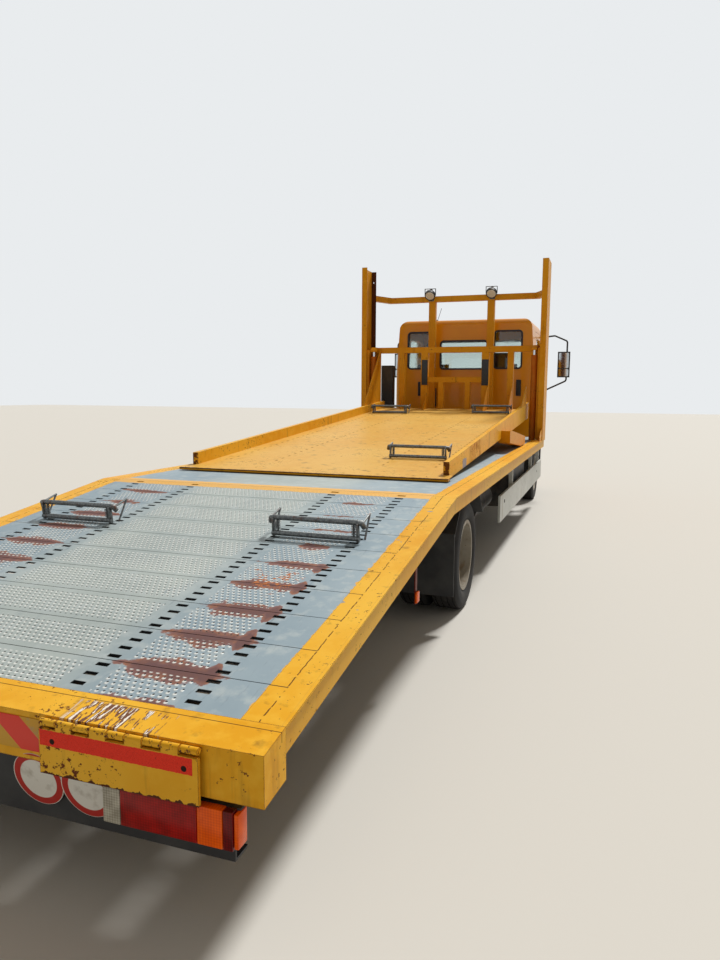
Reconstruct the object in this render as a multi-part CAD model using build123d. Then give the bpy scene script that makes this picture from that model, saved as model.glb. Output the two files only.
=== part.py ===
from build123d import *
import os
from math import atan2, degrees

os.makedirs("parts", exist_ok=True)

# Two-level car transporter truck. Lengths run forward from the rear face of the bed sill,
# heights up from the ground and widths out from the centreline, all in millimetres.
# The finished pieces are then moved so that the origin is under the middle of the truck.

# Bed
BED_WIDTH = 2550
BED_TOP = 977
SILL_TOP = 615
SILL_LENGTH = 140
SILL_HEIGHT = 155
KINK = 2541
BED_FRONT = 8960
RAIL_STRIP = 148
RAIL_HEIGHT = 104
RAIL_LIP = 14
SHEET = 8
PLANK_PITCH = 245
PLANK_SEAM = 4
SLOT_ROWS = (-940, -505, 505, 940)
SLOTS_PER_PLANK = 4
SLOT_WIDTH = 52
SLOT_LENGTH = 22
BEAM_X = 430
BEAM_WIDTH = 70
BEAM_DEPTH = 144
CROSS_DEPTH = 58
CROSS_WIDTH = 50
CROSS_PITCH = 500

# Chassis
FRAME_HEIGHT = 214
FRAME_THICK = 8
FRAME_REAR = 1700
FRAME_BACK = 190
NOSE_CROSS_BACK = 160
REAR_AXLE = 3562
WHEELBASE = 5928

# Wheels
TYRE_RADIUS = 400
TYRE_WIDTH = 212
RIM_RADIUS = 248
RIM_FLANGE = 262
DUAL_SPACING = 242
REAR_TRACK = 1860
FRONT_TRACK = 1940
KINGPIN_X = 800

# Posts and gantry
POST_REAR = 8140
POST_LENGTH = 420
POST_WIDTH = 75
POST_THICK = 8
POST_TOP = 3341
POST_HOLE = 18
POST_HOLE_DROP = 151
CROSSBAR_TOP = 3005
CROSSBAR_HEIGHT = 80
CROSSBAR_Y = 8860
CROSSBAR_LENGTH = 80
CROSSBAR_BEND = 1050
MAST_X = 430
MAST_WIDTH = 100

# Upper deck
DECK_HALF = 1077
DECK_REAR = 3198
DECK_REAR_TOP = 1002
DECK_SLOPE = 0.0735
DECK_FRONT = 8410
DECK_SHEET = 5
DECK_RAIL_REAR = 3354
DECK_RAIL_OUT = 1050
DECK_RAIL_WIDTH = 43
DECK_RAIL_RISE = 94
DECK_RAIL_DEPTH_REAR = 120
DECK_RAIL_DEPTH_FRONT = 215
HEAD_TUBE = 80
HEAD_END_X = 1135
HEAD_TOP = 2240
CYLINDER_X = 1126
CYLINDER_Y = 8250
CYLINDER_RADIUS = 43
ROD_RADIUS = 22

# Cab
CAB_REAR = 9112
CAB_HALF = 1050
CAB_LENGTH = 1638
CAB_ROOF = 2690
CAB_BELT = 1750
CAB_BROW = 1800
CAB_NOSE_Z = 1450
CAB_BOTTOM = 870
CAB_WALL = 60
CAB_FLOOR = 1000
CAB_FLOOR_THICK = 40
TILT_BACK = 110
MIRROR_BACK = 280
STEP_BACK = 280
ENGINE_BACK = 550
TILT_Z = 800
DOOR_BACK = 280
DOOR_LENGTH = 950
DOOR_BOTTOM = 1050
DOOR_TOP = 2520
DOOR_GAP = 6
GLASS_THICK = 6
GLASS_INSET = 22

# Rear flaps' hinge
HINGE_Y = -14
HINGE_PIN = 5
HINGE_BARREL = 11

# Running clearances
SHAFT_FIT = 0.05
SEAT = 0.3
CLEAR = 6

NOSE = CAB_REAR + CAB_LENGTH
FRAME_FRONT = NOSE - FRAME_BACK
NOSE_CROSS_Y = FRAME_FRONT - NOSE_CROSS_BACK
TILT_Y = NOSE - TILT_BACK
MIRROR_Y = NOSE - MIRROR_BACK
STEP_FRONT = NOSE - STEP_BACK
ENGINE_FRONT = NOSE - ENGINE_BACK
DOOR_FRONT = NOSE - DOOR_BACK
DOOR_REAR = DOOR_FRONT - DOOR_LENGTH
HALF_BED = BED_WIDTH / 2
FRONT_AXLE = REAR_AXLE + WHEELBASE
BED_SLOPE = (BED_TOP - SILL_TOP) / KINK
BED_ANGLE = degrees(atan2(BED_TOP - SILL_TOP, KINK))
FRAME_TOP = BED_TOP - SHEET - BEAM_DEPTH
FRAME_BOTTOM = FRAME_TOP - FRAME_HEIGHT
POST_FRONT = POST_REAR + POST_LENGTH
MIDDLE = (NOSE + HINGE_Y - HINGE_BARREL) / 2

AXES = {"X": Vector(1, 0, 0), "Y": Vector(0, 1, 0), "Z": Vector(0, 0, 1)}


def box(x, y, z):
    """A block between two limits on each axis."""
    size = [high - low for low, high in (x, y, z)]
    centre = [(high + low) / 2 for low, high in (x, y, z)]
    return Pos(*centre) * Box(*size)


def prism(axis, limits, outline, radius=0):
    """An outline in the plane across an axis, pulled along that axis between two limits."""
    low, high = limits
    place = {
        "X": lambda a, b: (low, a, b),
        "Y": lambda a, b: (a, low, b),
        "Z": lambda a, b: (a, b, low),
    }[axis]
    corners = [place(a, b) for a, b in outline]
    if radius:
        edge = FilletPolyline(*corners, radius=radius, close=True)
    else:
        edge = Polyline(*corners, close=True)
    return Solid.extrude(make_face(edge).face(), AXES[axis] * (high - low))


def rod(start, end, radius):
    """A round bar between two points."""
    run = Vector(*end) - Vector(*start)
    return Solid.make_cylinder(radius, run.length, Plane(origin=start, z_dir=run))


def both_sides(shape):
    """The piece on the right and its mirror image on the left."""
    return [shape, mirror(shape, about=Plane.YZ)]


def fuse(pieces):
    """One solid out of pieces that are welded together."""
    first, *rest = pieces
    return first.fuse(*rest) if rest else first


def save(name, pieces):
    """Writes the separate solids of one piece of the truck, moved to the final origin."""
    solids = []
    for piece in pieces:
        solids += (Pos(0, -MIDDLE, 0) * piece).solids()
    export_step(Compound(solids), f"parts/{name}.step")


def bed_height(y, drop=0):
    """Height of the bed's surface, sloped behind the kink and level ahead of it."""
    return BED_TOP - max(KINK - y, 0) * BED_SLOPE - drop


def bed_strip(y, drop, x):
    """A strip that follows the bed's surface, between two depths below it."""
    rear, front = y
    stops = [rear, KINK, front] if rear < KINK < front else [rear, front]
    upper = [(stop, bed_height(stop, drop[0])) for stop in stops]
    lower = [(stop, bed_height(stop, drop[1])) for stop in reversed(stops)]
    return prism("X", x, upper + lower)


def deck_height(y, drop=0):
    """Height of the upper deck's sheet, which rises towards the front."""
    return DECK_REAR_TOP + (y - DECK_REAR) * DECK_SLOPE - drop


def deck_strip(y, drop, x):
    """A strip that follows the deck's sheet, between two depths below it."""
    rear, front = y
    return prism(
        "X",
        x,
        [
            (rear, deck_height(rear, drop[0])),
            (front, deck_height(front, drop[0])),
            (front, deck_height(front, drop[1])),
            (rear, deck_height(rear, drop[1])),
        ],
    )


# Chassis: two channel side members, cut down under the sloped bed, and their cross members
def chassis_frame():
    outer = BEAM_X + BEAM_WIDTH / 2
    inner = BEAM_X - BEAM_WIDTH / 2
    taper_end = KINK - (FRAME_TOP - bed_height(KINK, SHEET + BEAM_DEPTH)) / BED_SLOPE
    rear_top = bed_height(FRAME_REAR, SHEET + BEAM_DEPTH)
    side = prism(
        "X",
        (inner, outer),
        [
            (FRAME_REAR, FRAME_BOTTOM),
            (FRAME_REAR, rear_top),
            (taper_end, FRAME_TOP),
            (FRAME_FRONT, FRAME_TOP),
            (FRAME_FRONT, FRAME_BOTTOM),
        ],
    )
    hollow = prism(
        "X",
        (inner, outer - FRAME_THICK),
        [
            (FRAME_REAR - 1, FRAME_BOTTOM + FRAME_THICK),
            (FRAME_REAR - 1, rear_top - FRAME_THICK),
            (taper_end, FRAME_TOP - FRAME_THICK),
            (FRAME_FRONT + 1, FRAME_TOP - FRAME_THICK),
            (FRAME_FRONT + 1, FRAME_BOTTOM + FRAME_THICK),
        ],
    )
    web = outer - FRAME_THICK
    # columns: place along the frame, length, top and bottom below the frame's top
    cross_members = (
        (2050, 60, 100, 180),
        (2900, 80, 30, 180),
        (4300, 80, 30, 180),
        (5600, 80, 30, 180),
        (6900, 80, 30, 180),
        (8200, 80, 30, 180),
        (NOSE_CROSS_Y, 100, 40, 190),
    )
    pieces = both_sides(side - hollow)
    for place, length, top, bottom in cross_members:
        y = (place, place + length)
        pieces.append(box((-web, web), y, (FRAME_TOP - bottom, FRAME_TOP - top)))
    # front ears that carry the cab's tilt pin
    ear = prism(
        "X",
        (web - 24, web),
        [
            (FRAME_FRONT - 60, FRAME_BOTTOM + 40),
            (FRAME_FRONT - 60, FRAME_TOP),
            (TILT_Y + 30, TILT_Z + 32),
            (TILT_Y + 38, TILT_Z - 32),
            (FRAME_FRONT, FRAME_BOTTOM + 40),
        ],
    )
    pieces += both_sides(ear)
    pieces.append(rod((-web - 50, TILT_Y, TILT_Z), (web + 50, TILT_Y, TILT_Z), 20))
    # rear hoop on which the parked cab rests
    hoop_top = CAB_FLOOR - CAB_FLOOR_THICK - SEAT
    hoop_y = (CAB_REAR + 78, CAB_REAR + 138)
    hoop = box((web - 50, web), hoop_y, (FRAME_TOP - 20, hoop_top))
    pieces += both_sides(hoop)
    pieces.append(box((-web, web), hoop_y, (hoop_top - 50, hoop_top)))
    return [fuse(pieces)]


save("chassis_frame", chassis_frame())


# Bed: long beams on the chassis, cross members, side channels, floor sheets and rear sill
def bed_beams():
    """Beams in two lengths that meet under the kink."""
    x = (BEAM_X - BEAM_WIDTH / 2, BEAM_X + BEAM_WIDTH / 2)
    drop = (SHEET + CROSS_DEPTH, SHEET + BEAM_DEPTH)
    solids = []
    for span in ((SILL_LENGTH, KINK), (KINK, BED_FRONT)):
        solids += both_sides(bed_strip(span, drop, x))
    return solids


def bed_cross_members():
    solids = []
    place = SILL_LENGTH + 60
    while place + CROSS_WIDTH < BED_FRONT:
        span = (place, place + CROSS_WIDTH)
        reach = HALF_BED - RAIL_LIP - SHEET if place < POST_FRONT else HALF_BED - RAIL_STRIP
        solids.append(bed_strip(span, (SHEET, SHEET + CROSS_DEPTH), (-reach, reach)))
        place += CROSS_PITCH
    return solids


save("bed_beams", bed_beams())
save("bed_cross_members", bed_cross_members())


def bed_side_rails():
    web = HALF_BED - RAIL_LIP
    span = (SILL_LENGTH, POST_FRONT)
    # columns: inner edge, outer edge, top and bottom below the bed's surface
    plates = (
        (HALF_BED - RAIL_STRIP, HALF_BED, 0, SHEET),
        (web - SHEET, web, SHEET, RAIL_HEIGHT),
        (web - 60, web, RAIL_HEIGHT - SHEET, RAIL_HEIGHT),
    )
    rail = fuse([bed_strip(span, (top, low), (x0, x1)) for x0, x1, top, low in plates])
    return both_sides(rail)


save("bed_side_rails", bed_side_rails())

FLOOR_HALF = HALF_BED - RAIL_STRIP


def slope_floor():
    sheet = bed_strip((SILL_LENGTH, KINK), (0, SHEET), (-FLOOR_HALF, FLOOR_HALF))
    cuts = []
    pitch = PLANK_PITCH / SLOTS_PER_PLANK
    seam = KINK - PLANK_PITCH
    while seam > SILL_LENGTH:
        span = (seam, seam + PLANK_SEAM)
        cuts.append(bed_strip(span, (-1, SHEET / 2), (-FLOOR_HALF, FLOOR_HALF)))
        seam -= PLANK_PITCH
    place = KINK - pitch / 2 - SLOT_LENGTH / 2
    while place > SILL_LENGTH + SLOT_LENGTH:
        for row in SLOT_ROWS:
            x = (row - SLOT_WIDTH / 2, row + SLOT_WIDTH / 2)
            cuts.append(bed_strip((place, place + SLOT_LENGTH), (-1, SHEET + 1), x))
        place -= pitch
    return [sheet.cut(*cuts)]


save("slope_floor", slope_floor())
save("level_floor", [bed_strip((KINK, BED_FRONT), (0, SHEET), (-FLOOR_HALF, FLOOR_HALF))])

SILL_BOTTOM = SILL_TOP - SILL_HEIGHT
SILL_RAKE = 14
HINGE_Z = SILL_TOP - 14
FLAP_INNER = 532
FLAP_OUTER = 1084
FLAP_BOTTOM = 442
FLAP_THICK = 12
KNUCKLES = 9
KNUCKLE = (FLAP_OUTER - FLAP_INNER) / KNUCKLES


def sill_underside(y):
    return SILL_BOTTOM + SILL_RAKE * y / SILL_LENGTH


def rear_sill():
    front_top = bed_height(SILL_LENGTH)
    body = prism(
        "X",
        (-HALF_BED, HALF_BED),
        [
            (0, SILL_BOTTOM),
            (0, SILL_TOP),
            (SILL_LENGTH, front_top),
            (SILL_LENGTH, front_top - RAIL_HEIGHT),
            (SILL_LENGTH, sill_underside(SILL_LENGTH)),
        ],
    )
    hollow = prism(
        "X",
        (-HALF_BED + SHEET, HALF_BED - SHEET),
        [
            (SHEET, sill_underside(SHEET) + SHEET),
            (SHEET, SILL_TOP - SHEET),
            (SILL_LENGTH + 1, front_top - SHEET),
            (SILL_LENGTH + 1, sill_underside(SILL_LENGTH + 1) + SHEET),
        ],
    )
    pieces = [body - hollow]
    # hinge leaves welded to the sill, with the pin that the flap turns on
    for index in range(0, KNUCKLES, 2):
        start = FLAP_INNER + index * KNUCKLE
        x = (start + 2, start + KNUCKLE - 2)
        leaf = box(x, (HINGE_Y, 0), (HINGE_Z - 5, HINGE_Z + 5))
        barrel = rod((x[0], HINGE_Y, HINGE_Z), (x[1], HINGE_Y, HINGE_Z), HINGE_BARREL)
        pieces += both_sides(fuse([leaf, barrel]))
    pin = rod((FLAP_INNER, HINGE_Y, HINGE_Z), (FLAP_OUTER, HINGE_Y, HINGE_Z), HINGE_PIN)
    pieces += both_sides(pin)
    return [fuse(pieces)]


save("rear_sill", rear_sill())


def rear_flap():
    y = (HINGE_Y - HINGE_BARREL, HINGE_Y - HINGE_BARREL + FLAP_THICK)
    top = HINGE_Z - HINGE_BARREL - 5
    pieces = [box((FLAP_INNER, FLAP_OUTER), y, (FLAP_BOTTOM, top))]
    bores = []
    for index in range(1, KNUCKLES, 2):
        start = FLAP_INNER + index * KNUCKLE
        x = (start + 2, start + KNUCKLE - 2)
        barrel = rod((x[0], HINGE_Y, HINGE_Z), (x[1], HINGE_Y, HINGE_Z), HINGE_BARREL)
        pieces.append(barrel + box(x, y, (top, HINGE_Z)))
        ends = ((start, HINGE_Y, HINGE_Z), (start + KNUCKLE, HINGE_Y, HINGE_Z))
        bores.append(rod(*ends, HINGE_PIN + SHAFT_FIT))
    return fuse(pieces).cut(*bores)


for side, shape in zip(("right", "left"), both_sides(rear_flap())):
    save(f"rear_flap_{side}", [shape])

# Rear bumper bar with hangers, and the lamp clusters on it
BUMPER_HALF = 1158
BUMPER_Y = 45
BUMPER_DEPTH = 75
BUMPER_BOTTOM = 250
BUMPER_TOP = 445
LAMP_INNER = 750
LAMP_OUTER = 1200
LAMP_BOTTOM = 324
LAMP_TOP = 440
LAMP_DEPTH = 60


def rear_bumper():
    face = (BUMPER_Y, BUMPER_Y + SHEET)
    y = (BUMPER_Y, BUMPER_Y + BUMPER_DEPTH)
    x = (-BUMPER_HALF, BUMPER_HALF)
    pieces = [
        box(x, face, (BUMPER_BOTTOM, BUMPER_TOP)),
        box(x, y, (BUMPER_BOTTOM, BUMPER_BOTTOM + SHEET)),
        box(x, y, (BUMPER_TOP - SHEET, BUMPER_TOP)),
    ]
    for place in (BEAM_X, 950):
        hanger = prism(
            "X",
            (place - SHEET / 2, place + SHEET / 2),
            [
                (BUMPER_Y, BUMPER_BOTTOM),
                (BUMPER_Y, sill_underside(BUMPER_Y)),
                (BUMPER_Y + BUMPER_DEPTH, sill_underside(BUMPER_Y + BUMPER_DEPTH)),
                (BUMPER_Y + BUMPER_DEPTH, BUMPER_BOTTOM),
            ],
        )
        pieces += both_sides(hanger)
    return [fuse(pieces)]


save("rear_bumper", rear_bumper())

lamp_body = prism(
    "Z",
    (LAMP_BOTTOM, LAMP_TOP),
    [
        (LAMP_INNER, BUMPER_Y),
        (LAMP_INNER, BUMPER_Y - LAMP_DEPTH),
        (LAMP_OUTER, BUMPER_Y - LAMP_DEPTH),
        (LAMP_OUTER, BUMPER_Y),
    ],
)
save("rear_lamps", both_sides(lamp_body))


# Guide posts: deep channels that open inboard, with a foot plate and gusset on the side rails
GUSSET_LENGTH = 230


def guide_post():
    inner = HALF_BED - POST_WIDTH
    height = (BED_TOP, POST_TOP)
    body = box((inner, HALF_BED), (POST_REAR, POST_FRONT), height)
    hollow = box(
        (inner - 1, HALF_BED - POST_THICK),
        (POST_REAR + POST_THICK, POST_FRONT - POST_THICK),
        (BED_TOP - 1, POST_TOP + 1),
    )
    gusset = prism(
        "X",
        (HALF_BED - 20, HALF_BED - 10),
        [
            (POST_REAR - GUSSET_LENGTH, BED_TOP),
            (POST_REAR - GUSSET_LENGTH, BED_TOP + 50),
            (POST_REAR, BED_TOP + 165),
            (POST_REAR, BED_TOP),
        ],
    )
    foot_y = (POST_REAR - GUSSET_LENGTH - 90, POST_REAR)
    foot = box((inner - 40, HALF_BED - 6), foot_y, (BED_TOP, BED_TOP + 10))
    place = (inner + POST_WIDTH / 2, POST_FRONT, POST_TOP - POST_HOLE_DROP)
    hole = rod(place, (place[0], POST_FRONT - POST_THICK, place[2]), POST_HOLE / 2)
    return (body - hollow).fuse(gusset, foot) - hole


save("guide_posts", both_sides(guide_post()))


# Gantry: crossbar ahead of the posts with angled ends, carried by two masts
def gantry_frame():
    z = (CROSSBAR_TOP - CROSSBAR_HEIGHT, CROSSBAR_TOP)
    front = CROSSBAR_Y + CROSSBAR_LENGTH
    bar = box((-CROSSBAR_BEND, CROSSBAR_BEND), (CROSSBAR_Y, front), z)
    end = prism(
        "Z",
        z,
        [
            (CROSSBAR_BEND, CROSSBAR_Y),
            (HALF_BED - POST_WIDTH, POST_FRONT),
            (HALF_BED, POST_FRONT),
            (CROSSBAR_BEND + 49, front),
            (CROSSBAR_BEND, front),
        ],
    )
    mast = box(
        (MAST_X - MAST_WIDTH / 2, MAST_X + MAST_WIDTH / 2),
        (CROSSBAR_Y, front),
        (BED_TOP, CROSSBAR_TOP - CROSSBAR_HEIGHT),
    )
    return [bar] + both_sides(end) + both_sides(mast)


save("gantry_frame", gantry_frame())

LAMP_X = 445
LAMP_Y = CROSSBAR_Y - 75
LAMP_Z = CROSSBAR_TOP + 13
LAMP_RADIUS = 76
LAMP_TILT = 40


def work_lamp():
    """Round lamp tipped down to the rear, pivoted in a bracket that stands on the crossbar."""
    tip = Pos(LAMP_X, LAMP_Y, LAMP_Z) * Rot(LAMP_TILT, 0, 0)
    shell = tip * rod((0, -30, 0), (0, 14, 0), LAMP_RADIUS)
    back = tip * rod((0, 14, 0), (0, 24, 0), 50)
    strip = 6
    reach = LAMP_RADIUS + strip
    bow_top = LAMP_Z + LAMP_RADIUS + 12
    bow_y = (LAMP_Y - 12, LAMP_Y + 12)
    cheek_z = (LAMP_Z - 12, bow_top)
    stand_y = CROSSBAR_Y + 14
    pieces = [
        shell,
        back,
        box((LAMP_X - reach, LAMP_X - LAMP_RADIUS + 1), bow_y, cheek_z),
        box((LAMP_X + LAMP_RADIUS - 1, LAMP_X + reach), bow_y, cheek_z),
        box((LAMP_X - reach, LAMP_X + reach), bow_y, (bow_top - strip, bow_top)),
        box((LAMP_X - 14, LAMP_X + 14), (LAMP_Y, stand_y), (bow_top - strip, bow_top)),
        box((LAMP_X - 14, LAMP_X + 14), (stand_y - strip, stand_y), (CROSSBAR_TOP, bow_top)),
    ]
    return fuse(pieces)


save("work_lamps", both_sides(work_lamp()))

# Lift cylinders: barrels stand on the bed, their rods push the deck's top brackets
BARREL_TOP = 2110
ROD_TOP = HEAD_TOP - 65


def lift_barrel():
    base = (CYLINDER_X, CYLINDER_Y, BED_TOP)
    top = (CYLINDER_X, CYLINDER_Y, BARREL_TOP)
    barrel = rod(base, top, CYLINDER_RADIUS)
    bore = rod((CYLINDER_X, CYLINDER_Y, BED_TOP + 25), top, ROD_RADIUS + SHAFT_FIT)
    return barrel - bore


save("lift_barrels", both_sides(lift_barrel()))
lift_rod = rod(
    (CYLINDER_X, CYLINDER_Y, BED_TOP + 35), (CYLINDER_X, CYLINDER_Y, ROD_TOP), ROD_RADIUS
)
save("lift_rods", both_sides(lift_rod))


# Upper deck: sheet on a grid of beams between two tapering side rails
def deck_plate():
    inner = DECK_RAIL_OUT - DECK_RAIL_WIDTH
    main = deck_strip((DECK_REAR, DECK_FRONT), (0, DECK_SHEET), (-inner, inner))
    lip = deck_strip(
        (DECK_REAR, DECK_RAIL_REAR), (0, DECK_SHEET), (-DECK_HALF, DECK_HALF)
    )
    return [main.fuse(lip)]


save("deck_plate", deck_plate())


def deck_rail():
    length = DECK_FRONT - DECK_RAIL_REAR
    rise = length * DECK_SLOPE
    rear_top = deck_height(DECK_RAIL_REAR, -DECK_RAIL_RISE)
    rail = prism(
        "X",
        (DECK_RAIL_OUT - DECK_RAIL_WIDTH, DECK_RAIL_OUT),
        [
            (DECK_RAIL_REAR, rear_top),
            (DECK_FRONT, rear_top + rise),
            (DECK_FRONT, rear_top + rise - DECK_RAIL_DEPTH_FRONT),
            (DECK_RAIL_REAR, rear_top - DECK_RAIL_DEPTH_REAR),
        ],
    )
    return rail


save("deck_rails", both_sides(deck_rail()))

KEEL_REAR = 4400
KEEL_DEPTH = 40


def deck_beams():
    """Cross beams under the sheet, shallow at the low rear end, with long keels below them."""
    inner = DECK_RAIL_OUT - DECK_RAIL_WIDTH
    # columns: start, length, depth below the sheet
    beams = [(DECK_REAR, 60, 12), (DECK_RAIL_REAR + 20, 50, 22)]
    place = DECK_RAIL_REAR + 520
    while place < DECK_FRONT - 200:
        beams.append((place, 50, 45))
        place += 500
    beams.append((DECK_FRONT - 60, 60, 45))
    solids = []
    for start, size, depth in beams:
        half = DECK_HALF if start == DECK_REAR else inner
        drop = (DECK_SHEET, DECK_SHEET + depth)
        solids.append(deck_strip((start, start + size), drop, (-half, half)))
    drop = (DECK_SHEET + 45, DECK_SHEET + 45 + KEEL_DEPTH)
    for x in (360, 720):
        solids += both_sides(deck_strip((KEEL_REAR, DECK_FRONT), drop, (x - 20, x + 20)))
    return solids


save("deck_beams", deck_beams())


# Headboard: tube frame at the deck's front end, whose ends carry rollers in the posts
# columns: left end, right end, bottom, top
MIDDLE_RAIL = (-350, 408, 1748, 1823)


def headboard():
    half = HEAD_TUBE / 2
    y = (DECK_FRONT - HEAD_TUBE, DECK_FRONT)
    foot = deck_height(DECK_FRONT - HEAD_TUBE) + SEAT
    under_bar = HEAD_TOP - HEAD_TUBE
    end = HEAD_END_X + half
    pieces = [box((-end, end), y, (under_bar, HEAD_TOP))]
    lower = MIDDLE_RAIL[2]
    # columns: place across, width, top
    uprights = (
        (-731, 70, under_bar),
        (-400, 100, under_bar),
        (-160, 70, lower),
        (217, 70, lower),
        (458, 100, under_bar),
        (800, 80, under_bar),
    )
    for x, width, top in uprights:
        outline = [
            (y[0], foot),
            (y[0], top),
            (y[1], top),
            (y[1], deck_height(y[1]) + SEAT),
        ]
        pieces.append(prism("X", (x - width / 2, x + width / 2), outline))
    # columns: place across, start on the deck, top
    gussets = ((-702, 8180, 1560), (-358, 8080, 1600), (500, 7960, 1700), (832, 7960, 1700))
    for x, start, top in gussets:
        outline = [(start, deck_height(start) + SEAT), (y[0], top), (y[0], foot)]
        pieces.append(prism("X", (x - 5, x + 5), outline))
    pieces += both_sides(box((HEAD_END_X - half, end), y, (990, under_bar)))
    left, right, low, high = MIDDLE_RAIL
    pieces.append(box((left, right), y, (low, high)))
    return [fuse(pieces)]


save("headboard", headboard())

ROLLER_RADIUS = 45
ROLLER_Z = (1060, 2140)
CARRIAGE_OUT = 1212
CARRIAGE_TOP = 2200


def deck_carriages():
    """Plates on the headboard's ends that reach into the posts, with two pairs of rollers each."""
    plate_in = HEAD_END_X + HEAD_TUBE / 2
    rear = POST_REAR + POST_THICK
    front = POST_FRONT - POST_THICK
    web = HALF_BED - POST_THICK
    plate = box((plate_in, CARRIAGE_OUT), (rear + 17, front - 17), (BED_TOP + 20, CARRIAGE_TOP))
    pieces = [plate]
    for z in ROLLER_Z:
        for y in (rear + CLEAR + ROLLER_RADIUS, front - CLEAR - ROLLER_RADIUS):
            pieces.append(rod((CARRIAGE_OUT - 5, y, z), (web - CLEAR, y, z), 14))
            pieces.append(rod((CARRIAGE_OUT + 6, y, z), (web - 2 * CLEAR, y, z), ROLLER_RADIUS))
    return both_sides(fuse(pieces))


save("deck_carriages", deck_carriages())


ARM_IN = 1020
ARM_OUT = 1142


def deck_arms():
    """Box arms under the rails, brace plates above them and the brackets over the lift rods."""
    arm = prism(
        "X",
        (ARM_IN, ARM_OUT),
        [
            (5900, 1085),
            (5900, 1210),
            (6080, 1205),
            (7300, 1083),
            (7300, 990),
            (6900, 990),
        ],
    )
    clevis = box((ARM_OUT - 60, ARM_OUT - 30), (7300, 7420), (1000, 1060))
    solids = both_sides(arm.fuse(clevis) - deck_rail())
    # columns: side, rear end, place and height of the brace plate's peak
    for side, start, peak, top in ((-1, 7580, DECK_FRONT - HEAD_TUBE, 2200), (1, 7600, 8110, 1700)):
        plate = prism(
            "X",
            (DECK_RAIL_OUT - 10, DECK_RAIL_OUT),
            [
                (start, deck_height(start, -DECK_RAIL_RISE)),
                (peak - 30, top),
                (peak, top),
                (peak, deck_height(peak, -DECK_RAIL_RISE)),
            ],
        )
        solids.append(both_sides(plate)[0 if side > 0 else 1])
    rear = CYLINDER_Y - CYLINDER_RADIUS
    bracket = prism(
        "X",
        (CYLINDER_X - 35, CYLINDER_X + 35),
        [
            (DECK_FRONT - HEAD_TUBE, ROD_TOP),
            (rear, ROD_TOP),
            (rear, HEAD_TOP - 40),
            (rear + 40, HEAD_TOP),
            (DECK_FRONT - HEAD_TUBE, HEAD_TOP),
        ],
    )
    return solids + both_sides(bracket)


save("deck_arms", deck_arms())


# Wheel stops: two tubes between upright end plates, with thin legs that hook into the floor
STOP_WIDTH = 520
STOP_HEIGHT = 115
STOP_LENGTH = 150
STOP_TUBE = 26


def wheel_stop():
    half = STOP_WIDTH / 2
    tube = STOP_TUBE / 2
    top = STOP_HEIGHT - tube - 3
    lean = 30
    plate = [
        (0, 0),
        (0, STOP_TUBE + 6),
        (lean - tube - 3, STOP_HEIGHT),
        (lean + tube + 3, STOP_HEIGHT),
        (lean + tube + 3, top - tube - 3),
        (STOP_TUBE + 6, 0),
    ]
    pieces = both_sides(prism("X", (half - 30, half - 15), plate))
    pieces.append(box((-half, half), (lean - tube, lean + tube), (top - tube, top + tube)))
    pieces.append(box((-half + 20, half - 20), (3, 3 + STOP_TUBE), (3, 3 + STOP_TUBE)))
    leg_x = half - 8
    leg = rod((leg_x, lean, top), (leg_x, STOP_LENGTH - 14, 14), 7)
    foot = box((leg_x - 8, leg_x + 8), (STOP_LENGTH - 30, STOP_LENGTH), (0, 20))
    return fuse(pieces + both_sides(leg) + both_sides(foot))


# columns: across, along, and for the deck the same
bed_stops = [
    Pos(x, y, bed_height(y)) * Rot(BED_ANGLE, 0, 0) * wheel_stop()
    for x, y in ((-750, 1640), (726, 1650))
]
save("bed_wheel_stops", bed_stops)
DECK_ANGLE = degrees(atan2(DECK_SLOPE, 1))
deck_stops = [
    Pos(x, y, deck_height(y)) * Rot(DECK_ANGLE, 0, 0) * wheel_stop()
    for x, y in ((645, 4000), (-680, 7570), (640, 7750))
]
save("deck_wheel_stops", deck_stops)


# Wheels
def turned(profile, x):
    """A profile of radius against width, turned about the axle's line."""
    face = make_face(Polyline(*[(w, r) for r, w in profile], close=True)).face()
    return Pos(x, 0, 0) * Solid.revolve(face, 360, Axis.X)


def tyre(x):
    half = TYRE_WIDTH / 2
    # columns: radius, place across the tyre
    profile = (
        (RIM_RADIUS, -half + 22),
        (RIM_FLANGE + 3, -half + 22),
        (RIM_RADIUS + 62, -half),
        (TYRE_RADIUS - 32, -half + 6),
        (TYRE_RADIUS - 6, -half + 20),
        (TYRE_RADIUS, -half + 34),
        (TYRE_RADIUS, half - 34),
        (TYRE_RADIUS - 6, half - 20),
        (TYRE_RADIUS - 32, half - 6),
        (RIM_RADIUS + 62, half),
        (RIM_FLANGE + 3, half - 22),
        (RIM_RADIUS, half - 22),
    )
    return turned(profile, x)


HAND_HOLES = 10
HAND_HOLE = 20
HAND_HOLE_PLACE = 208


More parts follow.
